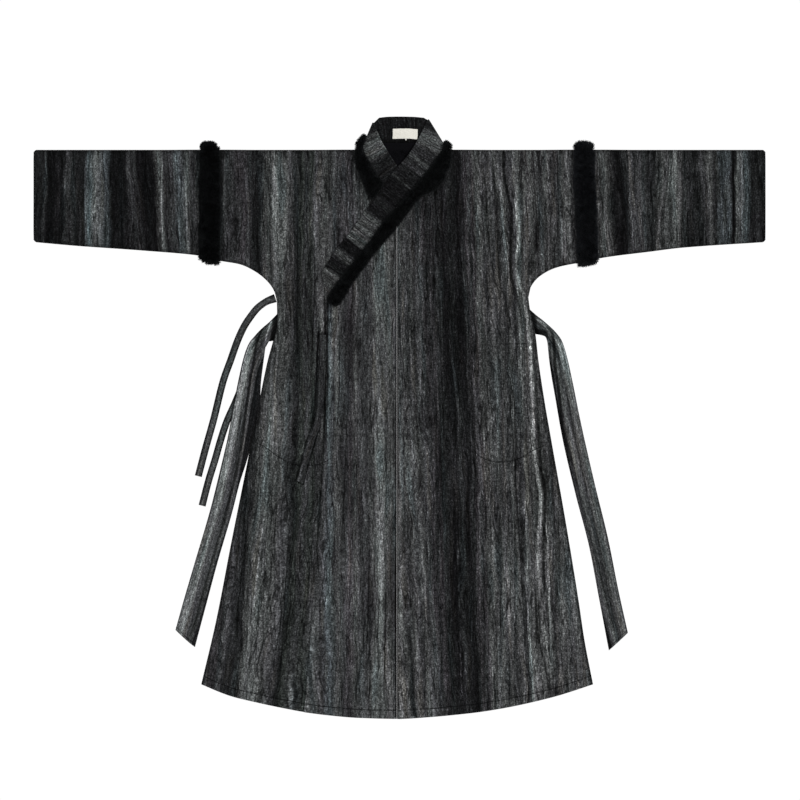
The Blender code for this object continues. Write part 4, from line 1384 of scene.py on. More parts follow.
def body_half(side, material):
    sign = -1 if side == "right" else 1
    edge = SIDE_RIGHT if side == "right" else SIDE_LEFT
    under_arm = UNDER_RIGHT if side == "right" else UNDER_LEFT
    seam = SEAM_RIGHT if side == "right" else SEAM_LEFT
    centre = CENTRE + sign * SEAM / 2
    neck_rows = COLLAR_INNER if side == "right" else COLLAR_OUTER[::-1]
    neck = [
        (r[1], r[0] - sign * -1 * 0.0 + (-0.5 if side == "right" else 0.5))
        for r in neck_rows
        if r[1] >= 0 and (r[0] <= CENTRE if side == "right" else r[0] >= CENTRE)
    ]
    arm_drop, arm_x = edge[0]
    stops = [0.0] + [v for v, _ in neck[1:]] + [arm_drop]
    rows = [0.0]
    for a, b in zip(stops, stops[1:]):
        rows += spread(a, b, ROW_STEP)[1:]
    hem_end = (edge[-1][1], edge[-1][0])
    shares = [(v - arm_drop) / (hem_end[1] - arm_drop) for v in spread(arm_drop, hem_end[1], ROW_STEP, (2, 5, 10, 16, 20))][1:]
    last_row = len(rows) - 1 + len(shares)
    sleeve_x = spread(seam + sign * -1 * 0.15, arm_x, COLUMN_STEP)
    ns = len(sleeve_x) - 1
    inner_share = [v / 250 for v in spread(0, 250, COLUMN_STEP) if v < 234]
    inner_share += [1 - v / 250 for v in (15, 12, 9.5, 7.5, 5.8, 4.4, 3.2, 2.2, 1.2)] + [1.0]
    nt = len(inner_share) - 1
    neck_x = neck[0][1]
    if side == "right":
        tops = [(r[0], r[1]) for r in COLLAR_BACK if r[0] <= CENTRE][::-1]
        seam_line = sorted([(r[0], r[1]) for r in COLLAR_BACK] + [(-76, -5)])
    else:
        tops = [(r[0], r[1]) for r in COLLAR_BACK if r[0] >= CENTRE]
        seam_line = sorted([(r[0], r[1]) for r in COLLAR_BACK] + [(90, -5)])
    top_x = spread(neck_x, centre, 6.0, (2, 5, 9))[1:]
    back_top = [(x, float(curve(seam_line, x)) + 2 * SEAM) for x in top_x]
    front, back, front_cells, back_cells = {}, {}, [], []
    arm_curve = sorted(under_arm)
    depth_at = [float(curve(arm_curve, x)) if c < ns else arm_drop for c, x in enumerate(sleeve_x)]
    for i, drop in enumerate(rows):
        for c, x in enumerate(sleeve_x):
            front[i, c] = back[i, c] = (x, drop / arm_drop * depth_at[c])
    line_x = [arm_x + (neck_x - arm_x) * s for s in inner_share]
    whole = last_row + 1
    for i in range(whole):
        if i < len(rows):
            low = rows[i]
            inner = float(curve(neck, low)) if low <= neck[-1][0] else centre
            left = arm_x
            flare = None
        else:
            share = shares[i - len(rows)]
            low = arm_drop + (hem_end[1] - arm_drop) * share
            left, inner, flare = float(curve(edge, low)), centre, share
        first = 1 if flare is None else 0
        part = np.array(inner_share[first:])
        xs = left + (inner - left) * part
        if flare is None:
            ds = np.full(len(part), low)
        else:
            ds = arm_drop + (curve(HEM, hem_end[0] + (centre - hem_end[0]) * part) - arm_drop) * flare
        for j, (x, d) in enumerate(zip(xs, ds)):
            front[i, ns + first + j] = (float(x), float(d))
        if i == 0:
            for j in range(1, nt + 1):
                back[0, ns + j] = front[0, ns + j]
            for j, p in enumerate(back_top):
                back[0, ns + nt + 1 + j] = p
            continue
        reach = np.array(line_x[first:] + [p[0] for p in back_top])
        part = (reach - arm_x) / (centre - arm_x)
        xs = left + (centre - left) * part
        if flare is None:
            ds = np.full(len(part), low)
        else:
            ds = arm_drop + (curve(HEM, hem_end[0] + (centre - hem_end[0]) * part) - arm_drop) * flare
        for j, (x, d) in enumerate(zip(xs, ds)):
            back[i, ns + first + j] = (float(x), float(d))
    for i in range(last_row):
        first = 0 if i < len(rows) - 1 else ns
        front_cells += [(i, c) for c in range(first, ns + nt)]
        back_cells += [(i, c) for c in range(first, ns + nt + len(back_top))]
    arm = len(rows) - 1
    shut = (
        [((0, c + 1), (0, c)) for c in range(ns + nt)]
        + [((arm, c), (arm, c + 1)) for c in range(ns)]
        + [((i, ns), (i + 1, ns)) for i in range(arm, last_row)]
    )
    if side == "right":
        shut = [(b, a) for a, b in shut]
    under = under_front if side == "right" else over_front
    return flat_tube(
        "cloth_body_" + side, front, front_cells, back, back_cells, shut, under,
        "body_" + side, material,
    )


def gore(side, material):
    if side == "outer":
        rows = sorted((r[1], r[0]) for r in COLLAR_OUTER if r[0] <= CENTRE)
        sign, under, node = -1, over_front, "overlap_gore"
    else:
        rows = sorted((r[1], r[0]) for r in COLLAR_INNER if r[0] >= CENTRE)
        sign, under, node = 1, under_front, "underlap_gore"
    inner = CENTRE + sign * SEAM / 2
    t0, t1 = rows[0][0], rows[-1][0]
    seam_x = curve(rows, np.linspace(t0, t1, 200))
    seam_d = np.linspace(t0, t1, 200)
    end = seam_x[-1]
    near = [v / abs(end - inner) for v in (1.2, 2.4, 3.8, 5.6, 7.8, 10.5, 14)]
    part = sorted(set([0.0] + near + list(np.linspace(18 / abs(end - inner), 1 - 8 / abs(end - inner), 30)) + [1 - v / abs(end - inner) for v in (5, 2.6, 1.0)] + [1.0]))
    x_top = np.array([inner + (end - inner) * p for p in part])
    order = np.argsort(seam_x)
    d_top = np.interp(x_top, seam_x[order], seam_d[order]) + 0.7
    share = np.concatenate([np.linspace(0, 0.985, 118), [0.991, 0.996, 1.0]])[:, None]
    foot_x = inner + ((curve(FREE_EDGE, 1180.0) if side == "outer" else -11 - curve(FREE_EDGE, 1180.0)) - inner) * np.array(part)
    d = d_top + (curve(HEM, foot_x) - d_top) * share
    free = curve(FREE_EDGE, np.maximum(d, 309))
    free = free if side == "outer" else -11 - free
    reach = np.where(d > 309, free, end)
    x = inner + (reach - inner) * np.array(part)
    return panel(
        "cloth_" + node, x, d, under, CLOTH, node, material
    )


def sleeve(side, material):
    sign = -1 if side == "right" else 1
    seam = (SEAM_RIGHT if side == "right" else SEAM_LEFT) + sign * 0.15
    arm_curve = sorted(UNDER_RIGHT if side == "right" else UNDER_LEFT)
    xs = spread(seam, sign * HALF_SPAN, COLUMN_STEP, (1.5, 3.5, 6, 19, 21, 23, 25, 27))
    rows = 30
    front = {}
    for c, x in enumerate(xs):
        depth = float(curve(arm_curve, x))
        inset = 5.0 * max(0.0, 1 - abs(sign * HALF_SPAN - x) / 6.0) ** 2
        for i in range(rows + 1):
            front[i, c] = (x, inset + (depth - 2 * inset) * i / rows)
    n = len(xs) - 1
    cells = [(i, c) for i in range(rows) for c in range(n)]
    shut = [((0, c), (0, c + 1)) for c in range(n)] + [((rows, c + 1), (rows, c)) for c in range(n)]
    if side == "right":
        shut = [(b, a) for a, b in shut]

    def under(x, d):
        hem = np.abs(np.abs(x) - 744)
        return under_front(x, d) - 0.45 * np.exp(-((hem / 2.2) ** 2)) + 0.15 * (np.abs(x) > 746)

    return flat_tube(
        "cloth_sleeve_" + side, front, cells, dict(front), cells, shut, under,
        "sleeve_" + side, material,
    )


# ---------------------------------------------------------------- bands
def sections(rows, under, thick, step=5.0):
    """Sections of a lying band through rows of (xi, di, xo, do), following its cloth."""
    a = np.array([r[:4] for r in rows], float)
    length = np.concatenate([[0], np.cumsum(np.hypot(*np.diff((a[:, :2] + a[:, 2:]) / 2, axis=0).T))])
    t = np.linspace(0, length[-1], max(3, int(length[-1] / step)))
    cols = [curve(list(zip(length, a[:, k])), t) for k in range(4)]
    xi, di, xo, do = cols
    zi, zo = under(xi, di), under(xo, do)
    inner = np.stack([xi, di, zi + thick / 2], axis=1)
    outer = np.stack([xo, do, zo + thick / 2], axis=1)
    normal = np.tile([0.0, 0.0, 1.0], (len(t), 1))
    return [inner, outer, normal, np.full(len(t), thick)], t


def by_drop(rows, under, thick, step=5.0):
    """The same for a collar stretch, spaced by the drop of its seam so that it meets the panels."""
    a = np.array(rows, float)
    order = np.argsort(a[:, 1])
    s = a[order]
    count = max(3, int((s[-1, 1] - s[0, 1]) / step))
    t = np.linspace(s[0, 1], s[-1, 1], count)
    xi = curve(s[:, [1, 0]], t)
    xo, do = curve(s[:, [1, 2]], t), curve(s[:, [1, 3]], t)
    if order[0] != 0:
        t, xi, xo, do = t[::-1], xi[::-1], xo[::-1], do[::-1]
    inner = np.stack([xi, t, under(xi, t) + thick / 2], axis=1)
    outer = np.stack([xo, do, under(xo, do) + thick / 2], axis=1)
    return [inner, outer, np.tile([0.0, 0.0, 1.0], (len(t), 1)), np.full(len(t), thick)]


def turned(fold, high, low, bulge, thick_high, thick_low, steps):
    (xi, di), (xo, do) = fold
    side = np.array([-(do - di), xo - xi])
    side = side / np.linalg.norm(side)
    if (xi - 0) * side[0] + (di - 40) * side[1] < 0:
        side = -side
    turn = np.pi * np.arange(steps + 1) / steps
    out, up = np.sin(turn), np.cos(turn)
    z = (high + low) / 2 + (high - low) / 2 * up
    inner = np.stack([xi + side[0] * bulge * out, di + side[1] * bulge * out, z], axis=1)
    outer = np.stack([xo + side[0] * bulge * out, do + side[1] * bulge * out, z], axis=1)
    normal = np.stack([side[0] * out, side[1] * out, up], axis=1)
    normal /= np.linalg.norm(normal, axis=1)[:, None]
    thick = thick_high + (thick_low - thick_high) * np.arange(steps + 1) / steps
    return [inner, outer, normal, thick]


def chained(parts):
    return [np.concatenate([p[k] for p in parts]) for k in range(4)]


def running(parts):
    middle = (parts[0] + parts[1]) / 2
    return np.concatenate([[0], np.cumsum(np.linalg.norm(np.diff(middle, axis=0), axis=1))])


def collar(material):
    behind, _ = sections(COLLAR_BACK, ground, BAND)
    behind[2] = -behind[2]
    high_left = float(over_band(*map(np.float64, FOLD_LEFT[0]))) + BAND / 2
    high_right = float(under_band(*map(np.float64, FOLD_RIGHT[0]))) + BAND / 2
    low = FUR_UNDER + SEAM + BAND / 2
    right = turned(FOLD_RIGHT, high_right, low, 1.9, BAND, BAND, 8)
    parts = chained(
        [
            by_drop(COLLAR_OUTER, over_band, BAND),
            turned(FOLD_LEFT, high_left, low, 1.9, BAND, BAND, 8),
            behind,
            [v[::-1] for v in right],
            by_drop(COLLAR_INNER, under_band, BAND),
        ]
    )
    along = running(parts)
    print("collar", [round(float(v)) for v in along[::12]], [round(float(v)) for v in parts[0][::12, 0]], [round(float(v)) for v in parts[0][::12, 1]])
    width = np.linalg.norm(parts[1] - parts[0], axis=1)
    # a slightly uneven band, ribbed across by its stripes
    parts[3] = parts[3] * (1 + 0.10 * noise(along, along * 0, 9, 1, 61) + 0.06 * noise(along, along * 0, 4, 1, 62) - 0.06)
    profile = [(0, 0.45), (0.012, 0.75), (0.035, 0.95), (0.08, 1.0), (0.2, 1.0), (0.35, 0.98), (0.5, 1.0), (0.65, 0.98), (0.8, 1.0), (0.92, 1.0), (0.965, 0.92), (0.99, 0.7), (1, 0.4)]
    obj = strip(
        "cloth_collar", parts, profile, "collar", material, (along, width)
    )
    middle = ((parts[0] + parts[1]) / 2)[:, :2]
    ahead = np.gradient(middle, axis=0)
    for _ in range(12):
        ahead[1:-1] = (ahead[:-2] + 2 * ahead[1:-1] + ahead[2:]) / 4
    ahead /= np.linalg.norm(ahead, axis=1)[:, None]
    m = len(profile)
    spot = np.empty(len(obj.data.vertices) * 3, np.float32)
    obj.data.attributes["place"].data.foreach_get("vector", spot)
    spot = spot.reshape(len(along), 2, m, 3)
    off = spot[..., :2] - middle[:, None, None]
    weave = np.zeros_like(spot)
    weave[..., 0] = along[:, None, None] + off[..., 0] * ahead[:, None, None, 0] + off[..., 1] * ahead[:, None, None, 1]
    weave[..., 1] = off[..., 0] * ahead[:, None, None, 1] - off[..., 1] * ahead[:, None, None, 0]
    share = np.array([row[0] for row in profile])[None, None, :]
    # painted shade: the band's back stretch is darkened, down to a tenth of its colour along its seam side, where it
    # falls into the neck
    back = ((spot[..., 1] < 12) & (spot[..., 2] < 7.5)).astype(float)
    weave[..., 2] = 1 - back * (0.35 + 0.55 * (1 - ease(share / 0.35)))
    obj.data.attributes["weave"].data.foreach_set("vector", weave.ravel())
    return obj


SASH_FOLDS = {  # across and drop of each end, half width, height
    "cloth_sash_right": [
        (-262, 350, -281, 404, 2.4, 1.3),
        (-281, 404, -292, 520, 3.0, 0.6),
        (-272, 352, -300, 402, 2.6, 0.9),
        (-302, 404, -320, 560, 3.6, 1.0),
        (-318, 545, -340, 690, 3.4, 0.8),
        (-342, 690, -398, 905, 3.6, 0.7),
        (-318, 430, -334, 560, 3.0, -0.5),
        (-380, 770, -430, 960, 3.2, 0.5),
        (-408, 880, -436, 1000, 3.0, -0.4),
    ],
    "cloth_sash_left": [
        (280, 346, 318, 392, 2.6, 1.2),
        (279, 362, 312, 398, 2.4, 0.9),
        (296, 354, 338, 420, 2.6, 0.9),
        (316, 398, 328, 520, 3.0, -0.6),
        (334, 410, 350, 545, 3.4, 1.0),
        (346, 545, 384, 700, 3.4, 0.7),
        (380, 690, 420, 860, 3.4, 0.6),
        (416, 850, 452, 1010, 3.2, 0.6),
        (356, 560, 372, 640, 2.6, -0.5),
    ],
}


def folds(x, d, rows):
    rise = np.zeros_like(x)
    for x0, d0, x1, d1, half, height in rows:
        length = math.hypot(x1 - x0, d1 - d0)
        ax, ad = (x1 - x0) / length, (d1 - d0) / length
        along = ((x - x0) * ax + (d - d0) * ad) / length
        across = (x - x0) * ad - (d - d0) * ax + 1.2 * noise(x, d, 30, 24, 35)
        envelope = ease((along + 0.04) * 6) * ease((1 - along) * 4)
        rise += height * envelope * np.exp(-((across / half) ** 2))
    return rise


def lying_strip(name, rows, under, thick, node, material, profile, step=5.0, root=(0, 0), bow=(0, 0), tail=(0, 0), tuck=None):
    """A sash or tie. Its root can be moved by root and bowed by bow, and its tail bowed by tail, all in millimetres."""
    parts, along = sections(rows, under, thick, step)
    width = np.linalg.norm(parts[1] - parts[0], axis=1)
    obj = strip(name, parts, profile, node, material, (along, width))
    # stripes run along a sash or tie
    layer = obj.data.attributes["weave"].data
    flat = np.zeros(len(layer) * 3, np.float32)
    layer.foreach_get("vector", flat)
    flat = flat.reshape(-1, 3)
    flat[:, [0, 1]] = flat[:, [1, 0]]
    layer.foreach_set("vector", flat.ravel())
    co = np.empty(len(obj.data.vertices) * 3)
    obj.data.vertices.foreach_get("co", co)
    co = co.reshape(len(along), 2, len(profile), 3)
    w = np.array([row[0] for row in profile])[None, None, :]
    arch = 4 * w * (1 - w)
    near = np.exp(-((along / 9.0) ** 2))[:, None, None]
    last = np.exp(-(((along[-1] - along) / 12.0) ** 2))[:, None, None]
    co[..., 0] += MM * (near * (root[0] + bow[0] * arch) + last * tail[0] * arch)
    co[..., 1] -= MM * (near * (root[1] + bow[1] * arch) + last * tail[1] * arch)
    if tuck is not None:
        d0, d1, amount = tuck
        share = plateau(SHOULDER_Y - co[..., 1] / MM, d0, d1, 30)
        co[..., 0] += MM * amount * share * w**6
    x, d = co[..., 0] / MM, SHOULDER_Y - co[..., 1] / MM
    lift = folds(x, d, SASH_FOLDS.get(name, [])) + 0.16 * noise(x, d, 6, 40, 36) * (len(profile) > 12)
    rim = ease(w / 0.07) * ease((1 - w) / 0.07)
    co[:, 1:, :, 2] += MM * (lift * rim)[:, 1:]
    obj.data.vertices.foreach_set("co", co.ravel())
    obj.data.update()
    return obj, float(along[-1])


def tie_rows(rows):
    found = []
    line = [r if len(r) == 2 else ((r[0] + r[2]) / 2, (r[1] + r[3]) / 2) for r in rows]
    for k, (x, d) in enumerate(line):
        a, b = line[max(k - 1, 0)], line[min(k + 1, len(rows) - 1)]
        along = Vector((b[0] - a[0], b[1] - a[1])).normalized()
        sx, sd = along[1] * TIE_WIDTH / 2, -along[0] * TIE_WIDTH / 2
        found.append(rows[k] if len(rows[k]) == 4 else (x + sx, d + sd, x - sx, d - sd))
    return found


# ---------------------------------------------------------------- fur
def fur_on(name, skin, count, length, width, seed, above=None, lean=(0.0, 0.0, 0.0), shade=None):
    """Short pile: slim bent blades rooted all over a skin, in uneven tufts, as one mesh."""
    mesh = skin.data
    mesh.calc_loop_triangles()
    co = np.empty(len(mesh.vertices) * 3)
    mesh.vertices.foreach_get("co", co)
    co = co.reshape(-1, 3)
    vn = np.empty(len(mesh.vertices) * 3)
    mesh.vertices.foreach_get("normal", vn)
    vn = vn.reshape(-1, 3)
    tri = np.empty(len(mesh.loop_triangles) * 3, int)
    mesh.loop_triangles.foreach_get("vertices", tri)
    tri = tri.reshape(-1, 3)
    p = co[tri]
    area = np.linalg.norm(np.cross(p[:, 1] - p[:, 0], p[:, 2] - p[:, 0]), axis=1)
    normal = vn[tri].mean(axis=1)
    if above is not None:
        area = area * above(p.mean(axis=1), normal)
    rng = np.random.RandomState(seed)
    pick = rng.choice(len(tri), count, p=area / area.sum())
    a, b = rng.rand(count), rng.rand(count)
    flip = a + b > 1
    a[flip], b[flip] = 1 - a[flip], 1 - b[flip]
    root = p[pick, 0] + (p[pick, 1] - p[pick, 0]) * a[:, None] + (p[pick, 2] - p[pick, 0]) * b[:, None]
    up = normal[pick]
    up /= np.linalg.norm(up, axis=1)[:, None]
    x, y = root[:, 0] / MM, root[:, 1] / MM
    clump = np.stack([noise(x, y, 7, 7, seed + 1), noise(x, y, 7, 7, seed + 2), noise(x, y, 7, 7, seed + 3)], axis=1)
    way = up + 0.42 * clump + 0.5 * (rng.rand(count, 3) - 0.5) + np.array(lean)
    way /= np.linalg.norm(way, axis=1)[:, None]
    reach = length * MM * (0.62 + 0.5 * rng.rand(count)) * (1 + 0.2 * noise(x, y, 11, 11, seed + 4))
    reach = reach * np.clip(root[:, 2] / (4 * MM) + 0.25 + 0.75 * (up[:, 2] > 0.2), 0.25, 1)
    side = np.cross(way, rng.rand(count, 3) - 0.5)
    side /= np.linalg.norm(side, axis=1)[:, None]
    droop = np.array([0, 0, -0.22]) + 0.25 * (rng.rand(count, 3) - 0.5)
    half = side * (width * MM / 2)
    root = root - up * 0.4 * MM
    mid = root + way * (reach * 0.55)[:, None]
    tip = mid + (way + droop) * (reach * 0.45)[:, None]
    tip[:, 2] = np.maximum(tip[:, 2], 0.0002)
    mid[:, 2] = np.maximum(mid[:, 2], 0.0002)
    root[:, 2] = np.maximum(root[:, 2], 0.0002)
    verts = np.stack([root - half, root + half, mid + half * 0.8, mid - half * 0.8, tip], axis=1).reshape(-1, 3)
    base = np.arange(count)[:, None] * 5
    faces = (base + np.array([0, 1, 2, 3])).tolist() + (base + np.array([3, 2, 4])).tolist()
    blades = bpy.data.meshes.new(name)
    blades.from_pydata(verts.tolist(), [], faces)
    blades.shade_smooth()
    obj = bpy.data.objects.new(name, blades)
    bpy.context.scene.collection.objects.link(obj)
    blades.materials.append(shade or FUR)
    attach(obj, "root")
    ALL.append(obj)
    return obj


def fur_ring(side):
    top_x, low_x, top, low = FUR_RINGS[side]
    under_arm = sorted(UNDER_RIGHT if side == "right" else UNDER_LEFT)
    cloth_top = FUR_UNDER + SEAM + 2 * CLOTH + LAYER + LOFT + 0.6
    pile = 5.5  # the skin lies this far inside the reach of the pile
    above = [
        (part, cloth_top, 18 + (RING_TOP - 18) * math.sin(math.pi * part) ** 0.5 - pile)
        for part in np.concatenate([[0, 0.03, 0.08], np.linspace(0.14, 0.86, 26), [0.92, 0.97, 1]])
    ]
    below = [(part, FUR_UNDER, 0.0) for part in np.linspace(1, 0, 14)]
    stations = above + [(1.006, 6.0, 8.0)] + below + [(-0.006, 6.0, 8.0)]
    profile = [(-1, 0.35), (-0.9, 0.62), (-0.72, 0.85), (-0.4, 0.97), (0, 1), (0.4, 0.97), (0.72, 0.85), (0.9, 0.62), (1, 0.35)]
    m = len(profile)
    points, faces = [], []
    for k, (part, inner_z, outer_z) in enumerate(stations):
        share = min(max(part, 0.0), 1.0)
        bump = float(noise(part * 240, k * 0.0, 17, 1, 71 + (side == "left")))
        x = top_x + (low_x - top_x) * share + 1.2 * bump
        last = len(above)
        end_station = k in (last, len(stations) - 1)
        inset = (0.0 if end_station else 5.0 if k < last else 7.0) + 4.2
        half = RING_HALF - 4.2 + 0.9 * float(noise(part * 240, 9.0, 13, 1, 73))
        starts = []
        for w, _ in profile:
            opening = float(curve(under_arm, x + w * half)) + 2.6
            starts.append(-2.2 + (opening + 2.2) * part)
        for (w, p), start in zip(profile, starts):
            first = top + (3.0 if side == "right" else 1.5) * w
            if side == "right":
                first += 8.0 * max(0.0, (w - 0.1) / 0.9) ** 2.2
            end = first + inset + (low + 2.5 * w * (1 if side == "right" else -1) - first - 2 * inset) * share
            lift = 1.0 * float(noise(part * 240, w * 20, 12, 9, 75)) if outer_z > 10 else 0.0
            points.append((x + w * half, start + (end - start) * p, inner_z + (outer_z + lift - inner_z) * p))
        for w, start in ((-1, starts[0]), (1, starts[-1])):
            points.append((x + w * half, start, inner_z))
    n, per = len(stations), m + 2
    for k in range(n):
        a, b = k * per, (k + 1) % n * per
        for q in range(m - 1):
            faces.append((a + q, a + q + 1, b + q + 1, b + q))
        faces.append((a + m, a + m + 1, b + m + 1, b + m))
        faces.append((a, a + m, b + m, b))
        faces.append((a + m - 1, a + m + 1, b + m + 1, b + m - 1))
    shade = FUR if side == "right" else FUR_LIGHTER
    skin = keep("fur_skin_" + side, points, faces, "sleeve_fur_" + side, None, shade, 80)

    def outside(centre, normal):
        # most on top and at the sides, few below, none on the face towards the sleeve
        mid = ((top_x + low_x) / 2) * MM
        z = centre[:, 2]
        outer = np.where((z > (cloth_top + 0.4) * MM) | (np.abs(centre[:, 0] - mid) > (RING_HALF - 5.5) * MM), 1.0, 0.0)
        y = SHOULDER_Y - centre[:, 1] / MM
        ends = (y < -6) | (y > 232)
        return np.where(ends, 1.3, outer) * np.where(z < 1.5 * MM, 0.12, 1.0)

    return skin, fur_on("fur_pile_" + side, skin, 34000, 7.6, 0.62, 101 + (side == "left") * 7, outside, shade=shade)


def collar_fur():
    thick = 6.0

    def pile(rows, under):
        found, _ = sections(rows, lambda x, d: under(x, d) + CLOTH + FUR_GAP, 6.5, 4.0)
        return found

    low = FUR_UNDER / 2
    top_left = float(over_front(*map(np.float64, FUR_FOLD_LEFT[1]))) + CLOTH + FUR_GAP + 2.0
    top_right = float(under_front(*map(np.float64, FUR_FOLD_RIGHT[1]))) + CLOTH + FUR_GAP + 2.0
    back, _ = sections(FUR_BACK, lambda x, d: x * 0.0, FUR_UNDER, 6.0)
    back[2] = -back[2]
    right = turned(FUR_PILE_RIGHT, top_right, low, 1.2, 3.6, FUR_UNDER, 6)
    parts = chained(
        [
            pile(FUR_OUTER, over_front),
            turned(FUR_PILE_LEFT, top_left, low, 1.2, 3.6, FUR_UNDER, 6),
            back,
            [v[::-1] for v in right],
            pile(FUR_INNER, under_front),
        ]
    )
    # the skin stands back from the reach of its pile on the outer side
    width = np.linalg.norm(parts[1] - parts[0], axis=1)
    corner = (parts[1][:, 0] > 96) & (parts[1][:, 1] < 45)
    edge_out = np.clip((width - np.where(corner, 3.5, 9.5)) / width, 0.35, 1)[:, None]
    edge_in = np.clip(1.5 / width, 0, 0.2)[:, None]
    across = parts[1] - parts[0]
    parts[1] = parts[0] + across * edge_out
    parts[0] = parts[0] + across * edge_in
    profile = [(0, 0.5), (0.08, 0.8), (0.25, 0.97), (0.5, 1), (0.75, 0.95), (0.9, 0.75), (1, 0.4)]
    skin = strip("fur_skin_collar", parts, profile, "collar_fur", FUR)

    def outside(centre, normal):
        return np.where(normal[:, 2] > -0.3, 1.0, 0.05) * np.where(centre[:, 2] < 2.6 * MM, 0.1, 1.0)

    def corner_at(x, drop):
        def near(centre, normal):
            away = np.hypot(centre[:, 0] / MM - x, SHOULDER_Y - centre[:, 1] / MM - drop)
            return np.where(away < 13, 1.0, 0.0)

        return near

    piles = [
        fur_on("fur_pile_collar", skin, 54000, 6.2, 0.55, 131, outside),
        fur_on("fur_tuft_left", skin, 2600, 6.5, 0.6, 137, corner_at(94, -5), (-1.3, 0.1, 0.2)),
        fur_on("fur_tuft_right", skin, 2600, 6.5, 0.6, 139, corner_at(-76, -24), (1.3, 0.3, 0.2)),
    ]
    return skin, piles


# ---------------------------------------------------------------- stitches
def stitches(name, runs, material=THREAD):
    """Rows of sewn stitches, each a slim closed lozenge half sunk in the cloth. A run is (points, height function, length, gap, width)."""
    verts, faces = [], []
    for points, on, length, gap, width in runs:
        p = np.array(points, float)
        seg = np.hypot(*np.diff(p, axis=0).T)
        s = np.concatenate([[0], np.cumsum(seg)])
        k = 0
        at = gap / 2
        while at + length < s[-1]:
            ends = []
            for t in (at, at + length / 2, at + length):
                ends.append((np.interp(t, s, p[:, 0]), np.interp(t, s, p[:, 1])))
            (x0, d0), (xm, dm), (x1, d1) = ends
            tx, td = x1 - x0, d1 - d0
            size = math.hypot(tx, td) or 1
            nx, nd = -td / size * width / 2, tx / size * width / 2
            z0, zm, z1 = (float(on(np.float64(a), np.float64(b))) for a, b in ends)
            base = len(verts)
            verts += [
                (x0, d0, z0 - 0.15),
                (xm + nx, dm + nd, zm + 0.15),
                (xm, dm, zm + 0.6),
                (xm - nx, dm - nd, zm + 0.15),
                (xm, dm, zm - 0.4),
                (x1, d1, z1 - 0.15),
            ]
            for q in range(4):
                r = (q + 1) % 4
                faces.append((base, base + 1 + q, base + 1 + r))
                faces.append((base + 5, base + 1 + r, base + 1 + q))
            k += 1
            at += length + gap
    return keep(name, verts, faces, None, None, material, 30)


